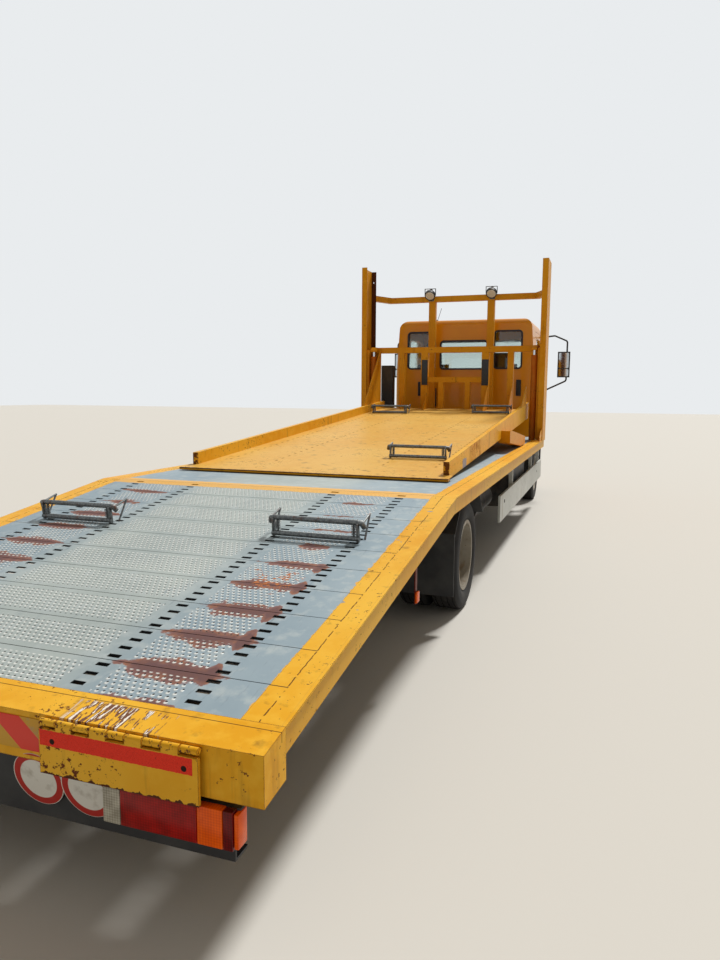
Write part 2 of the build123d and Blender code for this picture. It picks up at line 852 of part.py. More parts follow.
def rim(x, disc, attach, hub):
    """A rim well with a coned disc, and a hub as (inner end, outer end, radius)."""
    half = TYRE_WIDTH / 2
    lip = half - 22 + SEAT
    well_in = RIM_RADIUS - 14
    well = (
        (RIM_RADIUS - SEAT, -lip),
        (RIM_FLANGE, -lip),
        (RIM_FLANGE, -half + 14),
        (well_in, -half + 14),
        (well_in, half - 14),
        (RIM_FLANGE, half - 14),
        (RIM_FLANGE, lip),
        (RIM_RADIUS - SEAT, lip),
    )
    low, high, radius = hub
    plate = (
        (0, low),
        (radius, low),
        (radius, disc - 6),
        (150, disc - 6),
        (well_in, attach - 6),
        (well_in, attach + 6),
        (150, disc + 6),
        (radius, disc + 6),
        (radius, high),
        (0, high),
    )
    cut = Rot(360 / HAND_HOLES, 0, 0)
    holes = [rod((-half, 0, HAND_HOLE_PLACE), (half, 0, HAND_HOLE_PLACE), HAND_HOLE)]
    for _ in range(HAND_HOLES - 1):
        holes.append(cut * holes[-1])
    return Pos(x, 0, 0) * fuse([turned(well, 0), turned(plate, 0)]).cut(*holes)


SPINDLE = 30
FRONT_DISC = 70
DRUM_GAP = CLEAR
DRUM_OUT = KINGPIN_X + 130
REAR_SPINDLE = 45
DRUM_IN = REAR_TRACK / 2 - DUAL_SPACING / 2 - TYRE_WIDTH / 2 + 12
DRUM_RADIUS = 185


def front_rim():
    centre = FRONT_TRACK / 2
    hub = (DRUM_OUT + DRUM_GAP - centre, FRONT_DISC + 45, 70)
    bore_end = centre + FRONT_DISC - 15
    bore = rod((DRUM_OUT, 0, 0), (bore_end, 0, 0), SPINDLE + SHAFT_FIT)
    return rim(centre, FRONT_DISC, FRONT_DISC - 26, hub) - bore


def rear_rims():
    """Inner rim with the brake drum, and outer rim bolted face to face with it."""
    meet = REAR_TRACK / 2
    inner = meet - DUAL_SPACING / 2
    outer = meet + DUAL_SPACING / 2
    disc = DUAL_SPACING / 2 - 6
    drum = (DRUM_IN - inner, disc, DRUM_RADIUS)
    bore = rod((DRUM_IN - 1, 0, 0), (meet - 30, 0, 0), REAR_SPINDLE + SHAFT_FIT)
    inner_rim = rim(inner, disc, disc - 55, (disc - 20, disc + 5, 120))
    barrel = turned(((0, drum[0]), (DRUM_RADIUS, drum[0]), (DRUM_RADIUS, 60), (150, disc), (0, disc)), inner)
    return [inner_rim.fuse(barrel) - bore, rim(outer, -disc, 55 - disc, (-disc, 5, 85))]


for side, sign in (("right", 1), ("left", -1)):
    centre = FRONT_TRACK / 2
    place = Pos(0, FRONT_AXLE, TYRE_RADIUS)
    steered_tyre, steered_rim = tyre(centre), front_rim()
    inner = REAR_TRACK / 2 - DUAL_SPACING / 2
    outer = REAR_TRACK / 2 + DUAL_SPACING / 2
    rear_place = Pos(0, REAR_AXLE, TYRE_RADIUS)
    rear_tyres = [tyre(inner), tyre(outer)]
    pick = 0 if sign > 0 else 1
    save(f"front_tyre_{side}", [both_sides(place * steered_tyre)[pick]])
    save(f"front_rim_{side}", [both_sides(place * steered_rim)[pick]])
    save(f"rear_tyres_{side}", [both_sides(rear_place * shape)[pick] for shape in rear_tyres])
    save(f"rear_rims_{side}", [both_sides(rear_place * shape)[pick] for shape in rear_rims()])

# Rear axle: banjo housing between leaf springs, with brake drums inside the wheels
SPRING_WIDTH = 70
SPRING_THICK = 60


def spring_pack(y, length, low):
    """A pack of leaves bowed between its eyes, as one closed form."""
    x = (BEAM_X - SPRING_WIDTH / 2, BEAM_X + SPRING_WIDTH / 2)
    half = length / 2
    eye = FRAME_BOTTOM - 40
    return prism(
        "X",
        x,
        [
            (y - half, eye - 12),
            (y - half, eye + 12),
            (y - half / 2, (eye + low) / 2 + 26),
            (y, low + SPRING_THICK),
            (y + half / 2, (eye + low) / 2 + 26),
            (y + half, eye + 12),
            (y + half, eye - 12),
            (y + half / 2, (eye + low) / 2 - 10),
            (y + 90, low),
            (y - 90, low),
            (y - half / 2, (eye + low) / 2 - 10),
        ],
    )


def spring_hanger(y):
    x = (BEAM_X - SPRING_WIDTH / 2 + 5, BEAM_X + SPRING_WIDTH / 2 - 5)
    return prism(
        "X",
        x,
        [
            (y - 60, FRAME_BOTTOM),
            (y + 60, FRAME_BOTTOM),
            (y + 24, FRAME_BOTTOM - 60),
            (y - 24, FRAME_BOTTOM - 60),
        ],
    )


def rear_axle():
    z = TYRE_RADIUS
    backplate = DRUM_IN - CLEAR
    spindle = REAR_TRACK / 2 - 40
    pieces = [
        rod((-backplate, REAR_AXLE, z), (backplate, REAR_AXLE, z), 62),
        rod((-spindle, REAR_AXLE, z), (spindle, REAR_AXLE, z), REAR_SPINDLE),
        rod((0, REAR_AXLE - 150, z), (0, REAR_AXLE + 190, z), 165),
        rod((0, REAR_AXLE + 190, z), (0, REAR_AXLE + 330, z), 70),
    ]
    for x in (-backplate, backplate - 20):
        pieces.append(rod((x, REAR_AXLE, z), (x + 20, REAR_AXLE, z), DRUM_RADIUS))
    seat = z + 70
    pieces += both_sides(
        box((BEAM_X - 40, BEAM_X + 40), (REAR_AXLE - 80, REAR_AXLE + 80), (z, seat))
    )
    pieces += both_sides(spring_pack(REAR_AXLE, 1300, seat))
    for y in (REAR_AXLE - 650, REAR_AXLE + 650):
        pieces += both_sides(spring_hanger(y))
    return [fuse(pieces)]


save("rear_axle", rear_axle())

# Front axle: dropped beam with forked ends that hold the kingpins
KINGPIN_RADIUS = 18
FORK_HALF = 75
BEAM_HALF = 34
BOSS_RADIUS = 36


def front_axle():
    z = TYRE_RADIUS
    low = z - 70
    reach = KINGPIN_X
    neck = KINGPIN_X - 70
    beam = prism(
        "Y",
        (FRONT_AXLE - 45, FRONT_AXLE + 45),
        [
            (-neck, z - BEAM_HALF),
            (-neck, z + BEAM_HALF),
            (-KINGPIN_X + 120, z + BEAM_HALF),
            (-560, low + 45),
            (560, low + 45),
            (KINGPIN_X - 120, z + BEAM_HALF),
            (neck, z + BEAM_HALF),
            (neck, z - BEAM_HALF),
            (KINGPIN_X - 120, z - BEAM_HALF),
            (560, low - 45),
            (-560, low - 45),
            (-KINGPIN_X + 120, z - BEAM_HALF),
        ],
    )
    level = (z - BEAM_HALF, z + BEAM_HALF)
    boss = rod((reach, FRONT_AXLE, level[0]), (reach, FRONT_AXLE, level[1]), BOSS_RADIUS)
    bridge = box((neck - 10, reach), (FRONT_AXLE - BOSS_RADIUS + 6, FRONT_AXLE + BOSS_RADIUS - 6), level)
    pieces = [beam] + both_sides(boss) + both_sides(bridge)
    bottom = z - FORK_HALF - 30
    top = z + FORK_HALF + 30
    pins = [
        rod((x, FRONT_AXLE, bottom), (x, FRONT_AXLE, top), KINGPIN_RADIUS)
        for x in (-KINGPIN_X, KINGPIN_X)
    ]
    seat = low + 110
    pieces += both_sides(
        box((BEAM_X - 40, BEAM_X + 40), (FRONT_AXLE - 70, FRONT_AXLE + 70), (low, seat))
    )
    pieces += both_sides(spring_pack(FRONT_AXLE, 1300, seat)) + pins
    for y in (FRONT_AXLE - 650, FRONT_AXLE + 650):
        pieces += both_sides(spring_hanger(y))
    return [fuse(pieces)]


save("front_axle", front_axle())


def knuckle():
    """Fork round the axle's end, stub axle, brake drum and steering arm."""
    z = TYRE_RADIUS
    stub_end = FRONT_TRACK / 2 + FRONT_DISC - 20
    jaw = BEAM_HALF + CLEAR
    pieces = []
    for low, high in ((z - FORK_HALF, z - jaw), (z + jaw, z + FORK_HALF)):
        pieces.append(
            box((KINGPIN_X - 40, KINGPIN_X + 70), (FRONT_AXLE - 40, FRONT_AXLE + 40), (low, high))
        )
    web = KINGPIN_X + BOSS_RADIUS + CLEAR
    pieces.append(
        box((web, KINGPIN_X + 70), (FRONT_AXLE - 40, FRONT_AXLE + 40), (z - FORK_HALF, z + FORK_HALF))
    )
    pieces.append(rod((KINGPIN_X + 60, FRONT_AXLE, z), (DRUM_OUT, FRONT_AXLE, z), 150))
    pieces.append(rod((KINGPIN_X + 60, FRONT_AXLE, z), (stub_end, FRONT_AXLE, z), SPINDLE))
    arm = prism(
        "Z",
        (z - FORK_HALF, z - FORK_HALF + 24),
        [
            (KINGPIN_X - 40, FRONT_AXLE),
            (KINGPIN_X + 20, FRONT_AXLE),
            (KINGPIN_X - 40, FRONT_AXLE - 200),
            (KINGPIN_X - 80, FRONT_AXLE - 200),
        ],
    )
    pieces.append(arm)
    bore = rod(
        (KINGPIN_X, FRONT_AXLE, z - FORK_HALF - 1),
        (KINGPIN_X, FRONT_AXLE, z + FORK_HALF + 1),
        KINGPIN_RADIUS + SHAFT_FIT,
    )
    return fuse(pieces) - bore


for side, shape in zip(("right", "left"), both_sides(knuckle())):
    save(f"knuckle_{side}", [shape])


# Driveline: engine and gearbox as plain blocks, propeller shaft and silencer
def driveline():
    z = TYRE_RADIUS
    engine = box((-280, 280), (9420, ENGINE_FRONT), (500, 1170))
    gearbox = box((-190, 190), (8900, 9420), (480, 860))
    flange_end = REAR_AXLE + 330 + SEAT
    shaft = rod((0, 8880, 600), (0, flange_end + 20, z), 45)
    flange = rod((0, flange_end + 30, z), (0, flange_end, z), 60)
    collar = rod((0, 8860, 600), (0, 8900, 600), 70)
    lip = FRAME_BOTTOM + FRAME_THICK
    mounts = both_sides(box((280, BEAM_X - 5), (9700, 9800), (lip, lip + 45)))
    return [engine, gearbox, fuse([shaft, flange, collar])] + mounts


save("driveline", driveline())

# Fuel tank on the right, battery box and air tanks on the left, hung from the chassis
TANK_Y = (6300, 7500)
TANK_X = (BEAM_X + BEAM_WIDTH / 2 + 40, 1120)
TANK_Z = (350, 800)


def hanger_straps(places, x_out, low, high):
    inner = BEAM_X + BEAM_WIDTH / 2
    return [box((inner, x_out), (y - 25, y + 25), (low, high)) for y in places]


def fuel_tank():
    body = prism(
        "Y",
        TANK_Y,
        [
            (TANK_X[0], TANK_Z[0]),
            (TANK_X[1], TANK_Z[0]),
            (TANK_X[1], TANK_Z[1]),
            (TANK_X[0], TANK_Z[1]),
        ],
        radius=60,
    )
    places = (TANK_Y[0] + 250, TANK_Y[1] - 250)
    arms = hanger_straps(places, TANK_X[0] + 100, FRAME_BOTTOM + 60, FRAME_TOP - 40)
    neck = rod((TANK_X[1] - 90, 6500, TANK_Z[1] - 20), (TANK_X[1] - 60, 6500, TANK_Z[1] + 40), 40)
    return [fuse([body, neck] + arms)]


save("fuel_tank", fuel_tank())


def battery_box():
    body = prism(
        "X",
        (-1080, -BEAM_X - BEAM_WIDTH / 2 - 40),
        [(7000, 420), (7700, 420), (7700, 780), (7000, 780)],
        radius=25,
    )
    arms = [
        mirror(arm, about=Plane.YZ)
        for arm in hanger_straps((7120, 7580), 560, FRAME_BOTTOM + 60, FRAME_TOP - 60)
    ]
    return [fuse([body] + arms)]


save("battery_box", battery_box())


def air_tanks():
    solids = []
    for side in (1, -1):
        tank = rod((side * 900, 4700, 560), (side * 900, 5600, 560), 120)
        dome = rod((side * 900, 4670, 560), (side * 900, 5630, 560), 90)
        arms = [
            box((min(a, b), max(a, b)), (y - 20, y + 20), (540, 700))
            for y in (4850, 5450)
            for a, b in [(side * (BEAM_X + BEAM_WIDTH / 2), side * 830)]
        ]
        solids.append(fuse([tank, dome] + arms))
    return solids


save("air_tanks", air_tanks())

# Side guards: flat panels on stays from the chassis
GUARD_X = 1200
GUARD_THICK = 20
GUARD_Y = (4914, 8950)
GUARD_Z = (413, 660)


def side_guard():
    solids = [box((GUARD_X - GUARD_THICK, GUARD_X), GUARD_Y, GUARD_Z)]
    inner = BEAM_X + BEAM_WIDTH / 2
    post = (GUARD_X - GUARD_THICK - 40, GUARD_X - GUARD_THICK)
    for y in (5900, 7800, 8700):
        solids.append(box(post, (y, y + 40), (GUARD_Z[0] + 20, FRAME_TOP - 20)))
        arm = [
            (inner, FRAME_TOP - 60),
            (post[0], FRAME_TOP - 20),
            (post[0], FRAME_TOP - 70),
            (inner, FRAME_TOP - 110),
        ]
        solids.append(prism("Y", (y, y + 40), arm))
    return solids


save("side_guards", [half for solid in side_guard() for half in both_sides(solid)])

# Rear mudguards: a bent sheet over each pair of wheels and a hanging flap behind it


def rear_mudguard():
    inner = REAR_TRACK / 2 - DUAL_SPACING / 2 - TYRE_WIDTH / 2 - 10
    outer = REAR_TRACK / 2 + DUAL_SPACING / 2 + TYRE_WIDTH / 2 + 15
    x = (inner, outer)
    top = BED_TOP - RAIL_HEIGHT - 12
    cover = prism(
        "X",
        x,
        [
            (REAR_AXLE - 560, 640),
            (REAR_AXLE - 330, top),
            (REAR_AXLE + 330, top),
            (REAR_AXLE + 560, 640),
            (REAR_AXLE + 554, 636),
            (REAR_AXLE + 327, top - 6),
            (REAR_AXLE - 327, top - 6),
            (REAR_AXLE - 554, 636),
        ],
    )
    flap = box(x, (REAR_AXLE - 564, REAR_AXLE - 556), (230, 660))
    stays = [
        box((BEAM_X + BEAM_WIDTH / 2, outer - 40), (y, y + 30), (top - 36, top - 6))
        for y in (REAR_AXLE - 300, REAR_AXLE + 270)
    ]
    return fuse([cover, flap] + stays)


save("rear_mudguards", both_sides(rear_mudguard()))

# Front bumper, headlamps and the steps ahead of the front wheels
BUMPER_LOW = 400
BUMPER_HIGH = 745
ARCH_RADIUS = 505


def cab_plan(inset=0):
    """Outline of the cab and bumper seen from above: flat sides and a bowed front."""
    half = CAB_HALF - inset
    nose = NOSE - inset
    shape = [
        (-half, CAB_REAR + inset),
        (half, CAB_REAR + inset),
        (half, nose - 165),
        (half - 130, nose - 35),
        (300, nose),
        (-300, nose),
        (-half + 130, nose - 35),
        (-half, nose - 165),
    ]
    return shape


def cab_plan_prism(inset, z, rounded=True):
    """The cab's outline seen from above, pulled up between two heights."""
    corners = [60, 60, 90, 120, 900, 900, 120, 90] if rounded else 0
    return prism("Z", z, cab_plan(inset), radius=corners)


def front_bumper():
    z = (BUMPER_LOW, BUMPER_HIGH)
    skin = cab_plan_prism(0, z) - cab_plan_prism(50, (z[0] - 1, z[1] + 1))
    keep = box((-CAB_HALF - 1, CAB_HALF + 1), (STEP_FRONT + 10, NOSE + 1), z)
    skin = skin & keep
    lamp = box((620, 930), (STEP_FRONT + 30, NOSE + 1), (560, 700))
    rail_in = BEAM_X - BEAM_WIDTH / 2
    stay = box((rail_in + 2, rail_in + 32), (NOSE_CROSS_Y + 100, NOSE - 40), (640, 700))
    shell = skin.solids()[0].cut(*both_sides(lamp))
    return [fuse([shell] + both_sides(stay))]


save("front_bumper", front_bumper())


def headlamps():
    z = (560, 700)
    band = cab_plan_prism(8, z) - cab_plan_prism(48, (z[0] - 1, z[1] + 1))
    return both_sides((band & box((620, 930), (STEP_FRONT + 30, NOSE + 1), z)).solids()[0])


save("headlamps", headlamps())


def cab_steps():
    """Step box between the front wheel and the bumper, hung from the chassis."""
    inner = CAB_HALF - 230
    body = prism(
        "X",
        (inner, CAB_HALF - 15),
        [
            (FRONT_AXLE + ARCH_RADIUS, 400),
            (STEP_FRONT, 400),
            (STEP_FRONT, 850),
            (FRONT_AXLE + ARCH_RADIUS - 90, 850),
            (FRONT_AXLE + ARCH_RADIUS - 20, 620),
        ],
    )
    treads = [
        box((inner + 60, CAB_HALF), (FRONT_AXLE + ARCH_RADIUS + 60, STEP_FRONT - 50), z)
        for z in ((450, 600), (650, 800))
    ]
    stay = box((BEAM_X + BEAM_WIDTH / 2, inner), (STEP_FRONT - 270, STEP_FRONT - 210), (640, 720))
    return body.cut(*treads).fuse(stay)


save("cab_steps", both_sides(cab_steps()))


# Cab: three outlines crossed, inset for the inner skin
def cab_volume(inset, rounded=True):
    """The solid cab, inset from the outer skin; the inner lining has plain corners."""
    belt, roof = CAB_BELT, CAB_ROOF - inset
    rear, nose = CAB_REAR + inset, NOSE - inset
    half, top_half = CAB_HALF - inset, CAB_HALF - 65 - inset
    bottom = CAB_BOTTOM if inset == 0 else CAB_BOTTOM - 100
    side_view = [
        (rear, bottom),
        (rear, roof),
        (nose - 340, roof),
        (nose - 55, CAB_BROW),
        (nose, CAB_NOSE_Z),
        (nose, bottom),
    ]
    round_side = [0, 110, 160, 400, 400, 0] if rounded else 0
    front_view = [
        (-half, bottom),
        (-half, belt),
        (-top_half, roof),
        (top_half, roof),
        (half, belt),
        (half, bottom),
    ]
    round_front = [0, 500, 140, 140, 500, 0] if rounded else 0
    side = prism("X", (-half - 1, half + 1), side_view, radius=round_side)
    front = prism("Y", (rear - 1, nose + 1), front_view, radius=round_front)
    plan = cab_plan_prism(inset, (bottom - 1, roof + 1), rounded)
    return (side & front & plan).solids()[0]


DOOR_BEND = 1700


def door_outline(gap=0):
    """Side view of the door, or of its opening when a gap is added."""
    return [
        (DOOR_REAR - gap, DOOR_BOTTOM - gap),
        (DOOR_REAR - gap, DOOR_TOP + gap),
        (DOOR_FRONT - 190 + gap, DOOR_TOP + gap),
        (DOOR_FRONT - 40 + gap, DOOR_BEND + 150),
        (DOOR_FRONT + gap, DOOR_BEND),
        (DOOR_FRONT + gap, DOOR_BOTTOM - gap),
    ]


DOOR_WINDOW = [
    (DOOR_REAR + 90, 1760),
    (DOOR_REAR + 90, DOOR_TOP - 90),
    (DOOR_FRONT - 270, DOOR_TOP - 90),
    (DOOR_FRONT - 110, 1830),
    (DOOR_FRONT - 110, 1760),
]
SCREEN = [(-900, 1700), (-900, 2470), (900, 2470), (900, 1700)]
# columns: left, right, bottom and top of the rear windows
REAR_WINDOWS = ((-345, 345, 1965, 2370), (460, 850, 1970, 2505), (-850, -460, 1970, 2505))
GRILLE = (-560, 560, 960, 1330)
CAB_ARCH = 540


def window_cutters():
    screen = prism("Y", (NOSE - 420, NOSE + 5), SCREEN, radius=70)
    cutters = [screen]
    for left, right, low, high in REAR_WINDOWS:
        outline = [(left, low), (left, high), (right, high), (right, low)]
        cutters.append(prism("Y", (CAB_REAR - 5, CAB_REAR + 120), outline, radius=45))
    return cutters


outer_cab = cab_volume(0)
lining = cab_volume(CAB_WALL, rounded=False)
cab_walls = outer_cab - lining
inner_x = CAB_HALF - CAB_WALL - 80
glass_layer = cab_volume(GLASS_INSET) - cab_volume(GLASS_INSET + GLASS_THICK)


DOOR_PIN = 6
DOOR_BARREL = 11
DOOR_HINGE_X = CAB_HALF + 12
DOOR_HINGE_Y = DOOR_FRONT + DOOR_GAP / 2
DOOR_HINGE_Z = (1200, 1560)
DOOR_HINGE_LENGTH = 80


def door_hinges(on_door):
    """Barrels on one side of the hinge line; the cab's own carry the pin."""
    pieces = []
    bores = []
    third = DOOR_HINGE_LENGTH / 3
    for z in DOOR_HINGE_Z:
        low = z - DOOR_HINGE_LENGTH / 2
        spans = [(low + third + 1, low + 2 * third - 1)]
        if not on_door:
            spans = [(low, low + third - 1), (low + 2 * third + 1, low + 3 * third)]
        for bottom, top in spans:
            place = (DOOR_HINGE_X, DOOR_HINGE_Y)
            barrel = rod((*place, bottom), (*place, top), DOOR_BARREL)
            reach = (DOOR_HINGE_Y - 45, DOOR_HINGE_Y) if on_door else (DOOR_HINGE_Y, DOOR_HINGE_Y + 45)
            foot = CAB_HALF - 1 if on_door else CAB_HALF + SEAT
            pieces.append(barrel + box((foot, DOOR_HINGE_X), reach, (bottom, top)))
        pin = rod((*place, low), (*place, low + DOOR_HINGE_LENGTH), DOOR_PIN)
        if on_door:
            bores.append(rod((*place, low), (*place, low + DOOR_HINGE_LENGTH), DOOR_PIN + SHAFT_FIT))
        else:
            pieces.append(pin)
    return fuse(pieces).cut(*bores) if bores else fuse(pieces)


def cab_panels():
    """Roof, rear wall, front and sides, parted where the real panels meet."""
    cutters = window_cutters()
    opening = prism("X", (inner_x, CAB_HALF + 10), door_outline(DOOR_GAP), radius=40)
    cutters += both_sides(opening)
    wheel_line = ((-CAB_HALF - 10, FRONT_AXLE, TYRE_RADIUS), (CAB_HALF + 10, FRONT_AXLE, TYRE_RADIUS))
    cutters.append(rod(*wheel_line, CAB_ARCH))
    left, right, low, high = GRILLE
    cutters.append(box((left, right), (NOSE - 120, NOSE + 5), (low, high)))
    shell = cab_walls.cut(*cutters).solids()[0]
    wide = (-CAB_HALF - 10, CAB_HALF + 10)
    base, seam, top = CAB_BOTTOM - 10, DOOR_TOP + DOOR_GAP, CAB_ROOF + 10
    roof = box(wide, (CAB_REAR - 10, NOSE + 10), (seam, top))
    rear = box(wide, (CAB_REAR - 10, CAB_REAR + CAB_WALL), (base, seam))
    front = prism(
        "X",
        wide,
        [
            (DOOR_FRONT - 60, base),
            (DOOR_FRONT - 60, DOOR_BEND),
            (DOOR_FRONT - 100, DOOR_BEND + 150),
            (DOOR_FRONT - 250, seam),
            (NOSE + 10, seam),
            (NOSE + 10, base),
        ],
    )
    sides = shell.cut(roof, rear, front).solids()
    return {
        "cab_roof": (shell & roof).solids(),
        "cab_rear_wall": (shell & rear).solids(),
        "cab_front": (shell & front).solids() + both_sides(door_hinges(False)),
        "cab_sides": sides,
    }


for name, solids in cab_panels().items():
    save(name, solids)


def cab_glass():
    panes = []
    for cutter in window_cutters():
        panes += (glass_layer & cutter).solids()
    return panes


save("cab_glass", cab_glass())


def door():
    outline = prism("X", (inner_x, CAB_HALF + 10), door_outline(), radius=36)
    window = prism("X", (inner_x - 5, CAB_HALF + 15), DOOR_WINDOW, radius=40)
    panel = ((cab_walls & outline) - window).solids()[0]
    return panel.fuse(door_hinges(True))


def door_glass():
    window = prism("X", (inner_x - 5, CAB_HALF + 15), DOOR_WINDOW, radius=40)
    return (glass_layer & window).solids()[0]


for side, shape in zip(("right", "left"), both_sides(door())):
    save(f"door_{side}", [shape])
for side, shape in zip(("right", "left"), both_sides(door_glass())):
    save(f"door_glass_{side}", [shape])


def cab_floor():
    low, high = CAB_FLOOR - CAB_FLOOR_THICK, CAB_FLOOR
    wide = (-CAB_HALF, CAB_HALF)
    sheet = (lining & box(wide, (CAB_REAR, NOSE), (low, high))).solids()[0]
    tunnel_out = box((-370, 370), (CAB_REAR + CAB_WALL + 40, ENGINE_FRONT + 120), (low, 1240))
    tunnel_in = box((-345, 345), (CAB_REAR + CAB_WALL + 65, ENGINE_FRONT + 95), (low - 1, 1215))
    web = BEAM_X + BEAM_WIDTH / 2 - FRAME_THICK
    ears = []
    for x in (web + 10, -web - 34):
        ear = prism(
            "X",
            (x, x + 24),
            [
                (TILT_Y - 110, low),
                (TILT_Y + 28, low),
                (TILT_Y + 30, TILT_Z - 30),
                (TILT_Y - 36, TILT_Z - 36),
            ],
        )
        bore = rod((x - 1, TILT_Y, TILT_Z), (x + 25, TILT_Y, TILT_Z), 20 + SHAFT_FIT)
        ears.append(ear - bore)
    return [fuse([sheet, tunnel_out] + ears) - tunnel_in]


save("cab_floor", cab_floor())


def grille():
    left, right, low, high = GRILLE
    frame = box((left, right), (NOSE - 60, NOSE - 20), (low, high))
    holes = []
    slats = 5
    pitch = (high - low - 30) / slats
    for index in range(slats):
        z = low + 30 + index * pitch
        holes.append(box((left + 30, right - 30), (NOSE - 50, NOSE - 19), (z, z + pitch - 30)))
    return [frame.cut(*holes)]


save("grille", grille())


def cab_interior():
    """Two seats, dashboard, steering column and wheel."""
    seat, dash_y = CAB_REAR + 388, NOSE - 380
    solids = []
    for x in (-520, 520):
        base = box((x - 150, x + 150), (seat + 100, seat + 450), (CAB_FLOOR, 1330))
        cushion = box((x - 250, x + 250), (seat, seat + 500), (1330, 1450))
        back = [
            (seat - 100, 1400),
            (seat - 200, 2020),
            (seat - 100, 2040),
            (seat + 40, 1450),
            (seat + 40, 1400),
        ]
        head = [
            (seat - 190, 2020),
            (seat - 210, 2200),
            (seat - 130, 2200),
            (seat - 100, 2035),
        ]
        pads = [prism("X", (x - 240, x + 240), back), prism("X", (x - 130, x + 130), head)]
        solids.append(fuse([base, cushion] + pads))
    outline = [
        (dash_y, 1420),
        (dash_y, 1620),
        (dash_y + 50, 1670),
        (dash_y + 230, 1670),
        (dash_y + 290, 1420),
    ]
    dash = prism("X", (-960, 960), outline)
    dash = (dash & cab_volume(CAB_WALL + SEAT, rounded=False)).solids()[0]
    feet = box((-700, -380), (dash_y + 80, dash_y + 190), (CAB_FLOOR, 1421))
    wheel_y = dash_y - 190
    column = rod((-520, dash_y + 30, 1500), (-520, wheel_y, 1600), 35)
    wheel = Plane(origin=(-520, wheel_y, 1600), z_dir=(0, -220, 100)) * Torus(220, 16)
    spoke = rod((-520 - 220, wheel_y, 1600), (-520 + 220, wheel_y, 1600), 14)
    solids.append(fuse([dash, feet, column, spoke, wheel.solids()[0]]))
    return solids


save("cab_interior", cab_interior())


def mirror_pair():
    corner = [
        (940, MIRROR_Y + 30, 2500),
        (1215, MIRROR_Y, 2528),
        (1412, MIRROR_Y, 2440),
        (1412, MIRROR_Y, 1810),
        (1040, MIRROR_Y + 130, 1640),
    ]
    path = FilletPolyline(*corner, radius=45)
    start = Plane(origin=path @ 0, z_dir=path % 0)
    arm = sweep(start * Circle(13), path=path).solids()[0]
    head = box((1272, 1462), (MIRROR_Y - 30, MIRROR_Y + 30), (1865, 2272))
    return fuse([arm, head]) - outer_cab


mirrors = []
for shape in both_sides(mirror_pair()):
    mirrors += shape.solids()
save("mirrors", mirrors)
save(
    "air_intake",
    [
        prism(
            "Z",
            (BED_TOP, 2002),
            [(-1160, 8700), (-980, 8700), (-980, 8850), (-1160, 8850)],
            radius=25,
        )
    ],
)
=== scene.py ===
import math

import bmesh
import bpy
from mathutils import Matrix, Vector


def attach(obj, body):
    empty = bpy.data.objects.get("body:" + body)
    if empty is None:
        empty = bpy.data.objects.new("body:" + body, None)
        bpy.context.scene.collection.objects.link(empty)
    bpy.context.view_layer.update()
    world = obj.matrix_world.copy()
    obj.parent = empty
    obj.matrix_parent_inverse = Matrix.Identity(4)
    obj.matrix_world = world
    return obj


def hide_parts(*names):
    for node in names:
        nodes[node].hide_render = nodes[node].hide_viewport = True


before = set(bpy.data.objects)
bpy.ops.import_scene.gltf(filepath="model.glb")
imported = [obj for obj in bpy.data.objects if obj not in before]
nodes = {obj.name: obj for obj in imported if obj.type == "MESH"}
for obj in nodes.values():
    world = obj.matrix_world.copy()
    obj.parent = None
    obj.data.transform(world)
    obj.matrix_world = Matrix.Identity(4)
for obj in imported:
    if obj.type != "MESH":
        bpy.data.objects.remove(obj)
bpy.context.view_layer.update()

# Studio: a pale floor and a soft sky, with one broad high lamp ahead and a little to the right, as the
# sun stands over the parked truck. Nothing here belongs to the truck itself.
SKY = "#e9ecee"
SKY_LIGHT = "#f3e6d4"
FLOOR = "#c9c8c4"
FLOOR_REACH = 60
SKY_STRENGTH = 0.36
SUN_STRENGTH = 3.6
SUN_WIDTH = math.radians(9)
SUN_TINT = (1.0, 0.97, 0.92)
TOWARDS_SUN = (0.22, 0.72, 1.0)


def shade(tint):
    """An sRGB hex colour as linear values with alpha."""
    parts = [int(tint[i : i + 2], 16) / 255 for i in (1, 3, 5)]
    linear = [p / 12.92 if p <= 0.04045 else ((p + 0.055) / 1.055) ** 2.4 for p in parts]
    return (*linear, 1.0)


def put(tree, value, socket):
    """Fills a socket with a number, a hex colour, a node's own output or another output."""
    if isinstance(value, bpy.types.Node):
        value = next(output for output in value.outputs if output.enabled)
    if isinstance(value, bpy.types.NodeSocket):
        tree.links.new(value, socket)
    elif value is not None:
        socket.default_value = shade(value) if isinstance(value, str) else value


def node(tree, kind, *values, **settings):
    """Adds a node, its kind and after a dot its operation. Values fill its sockets in order; settings are
    its attributes, or with a capital letter its sockets by name."""
    kind, _, operation = kind.partition(".")
    made = tree.nodes.new("ShaderNode" + kind)
    if operation:
        made.operation = operation
    sockets = dict(enumerate(values))
    for key, value in settings.items():
        if key.islower():
            setattr(made, key, value)
        else:
            sockets[key] = value
    for key, value in sockets.items():
        put(tree, value, made.inputs[key])
    return made


world = bpy.data.worlds.new("studio_sky")
world.use_nodes = True
bpy.context.scene.world = world
sky = world.node_tree
sky.nodes.clear()
path = node(sky, "LightPath").outputs
seen = node(sky, "Math.MAXIMUM", path["Is Camera Ray"], path["Is Glossy Ray"])
seen = node(sky, "Math.MAXIMUM", seen, path["Is Transmission Ray"])
lit = node(sky, "Background", SKY_LIGHT, SKY_STRENGTH)
shown = node(sky, "Background", SKY, 1.0)
node(sky, "OutputWorld", node(sky, "MixShader", seen, lit, shown))

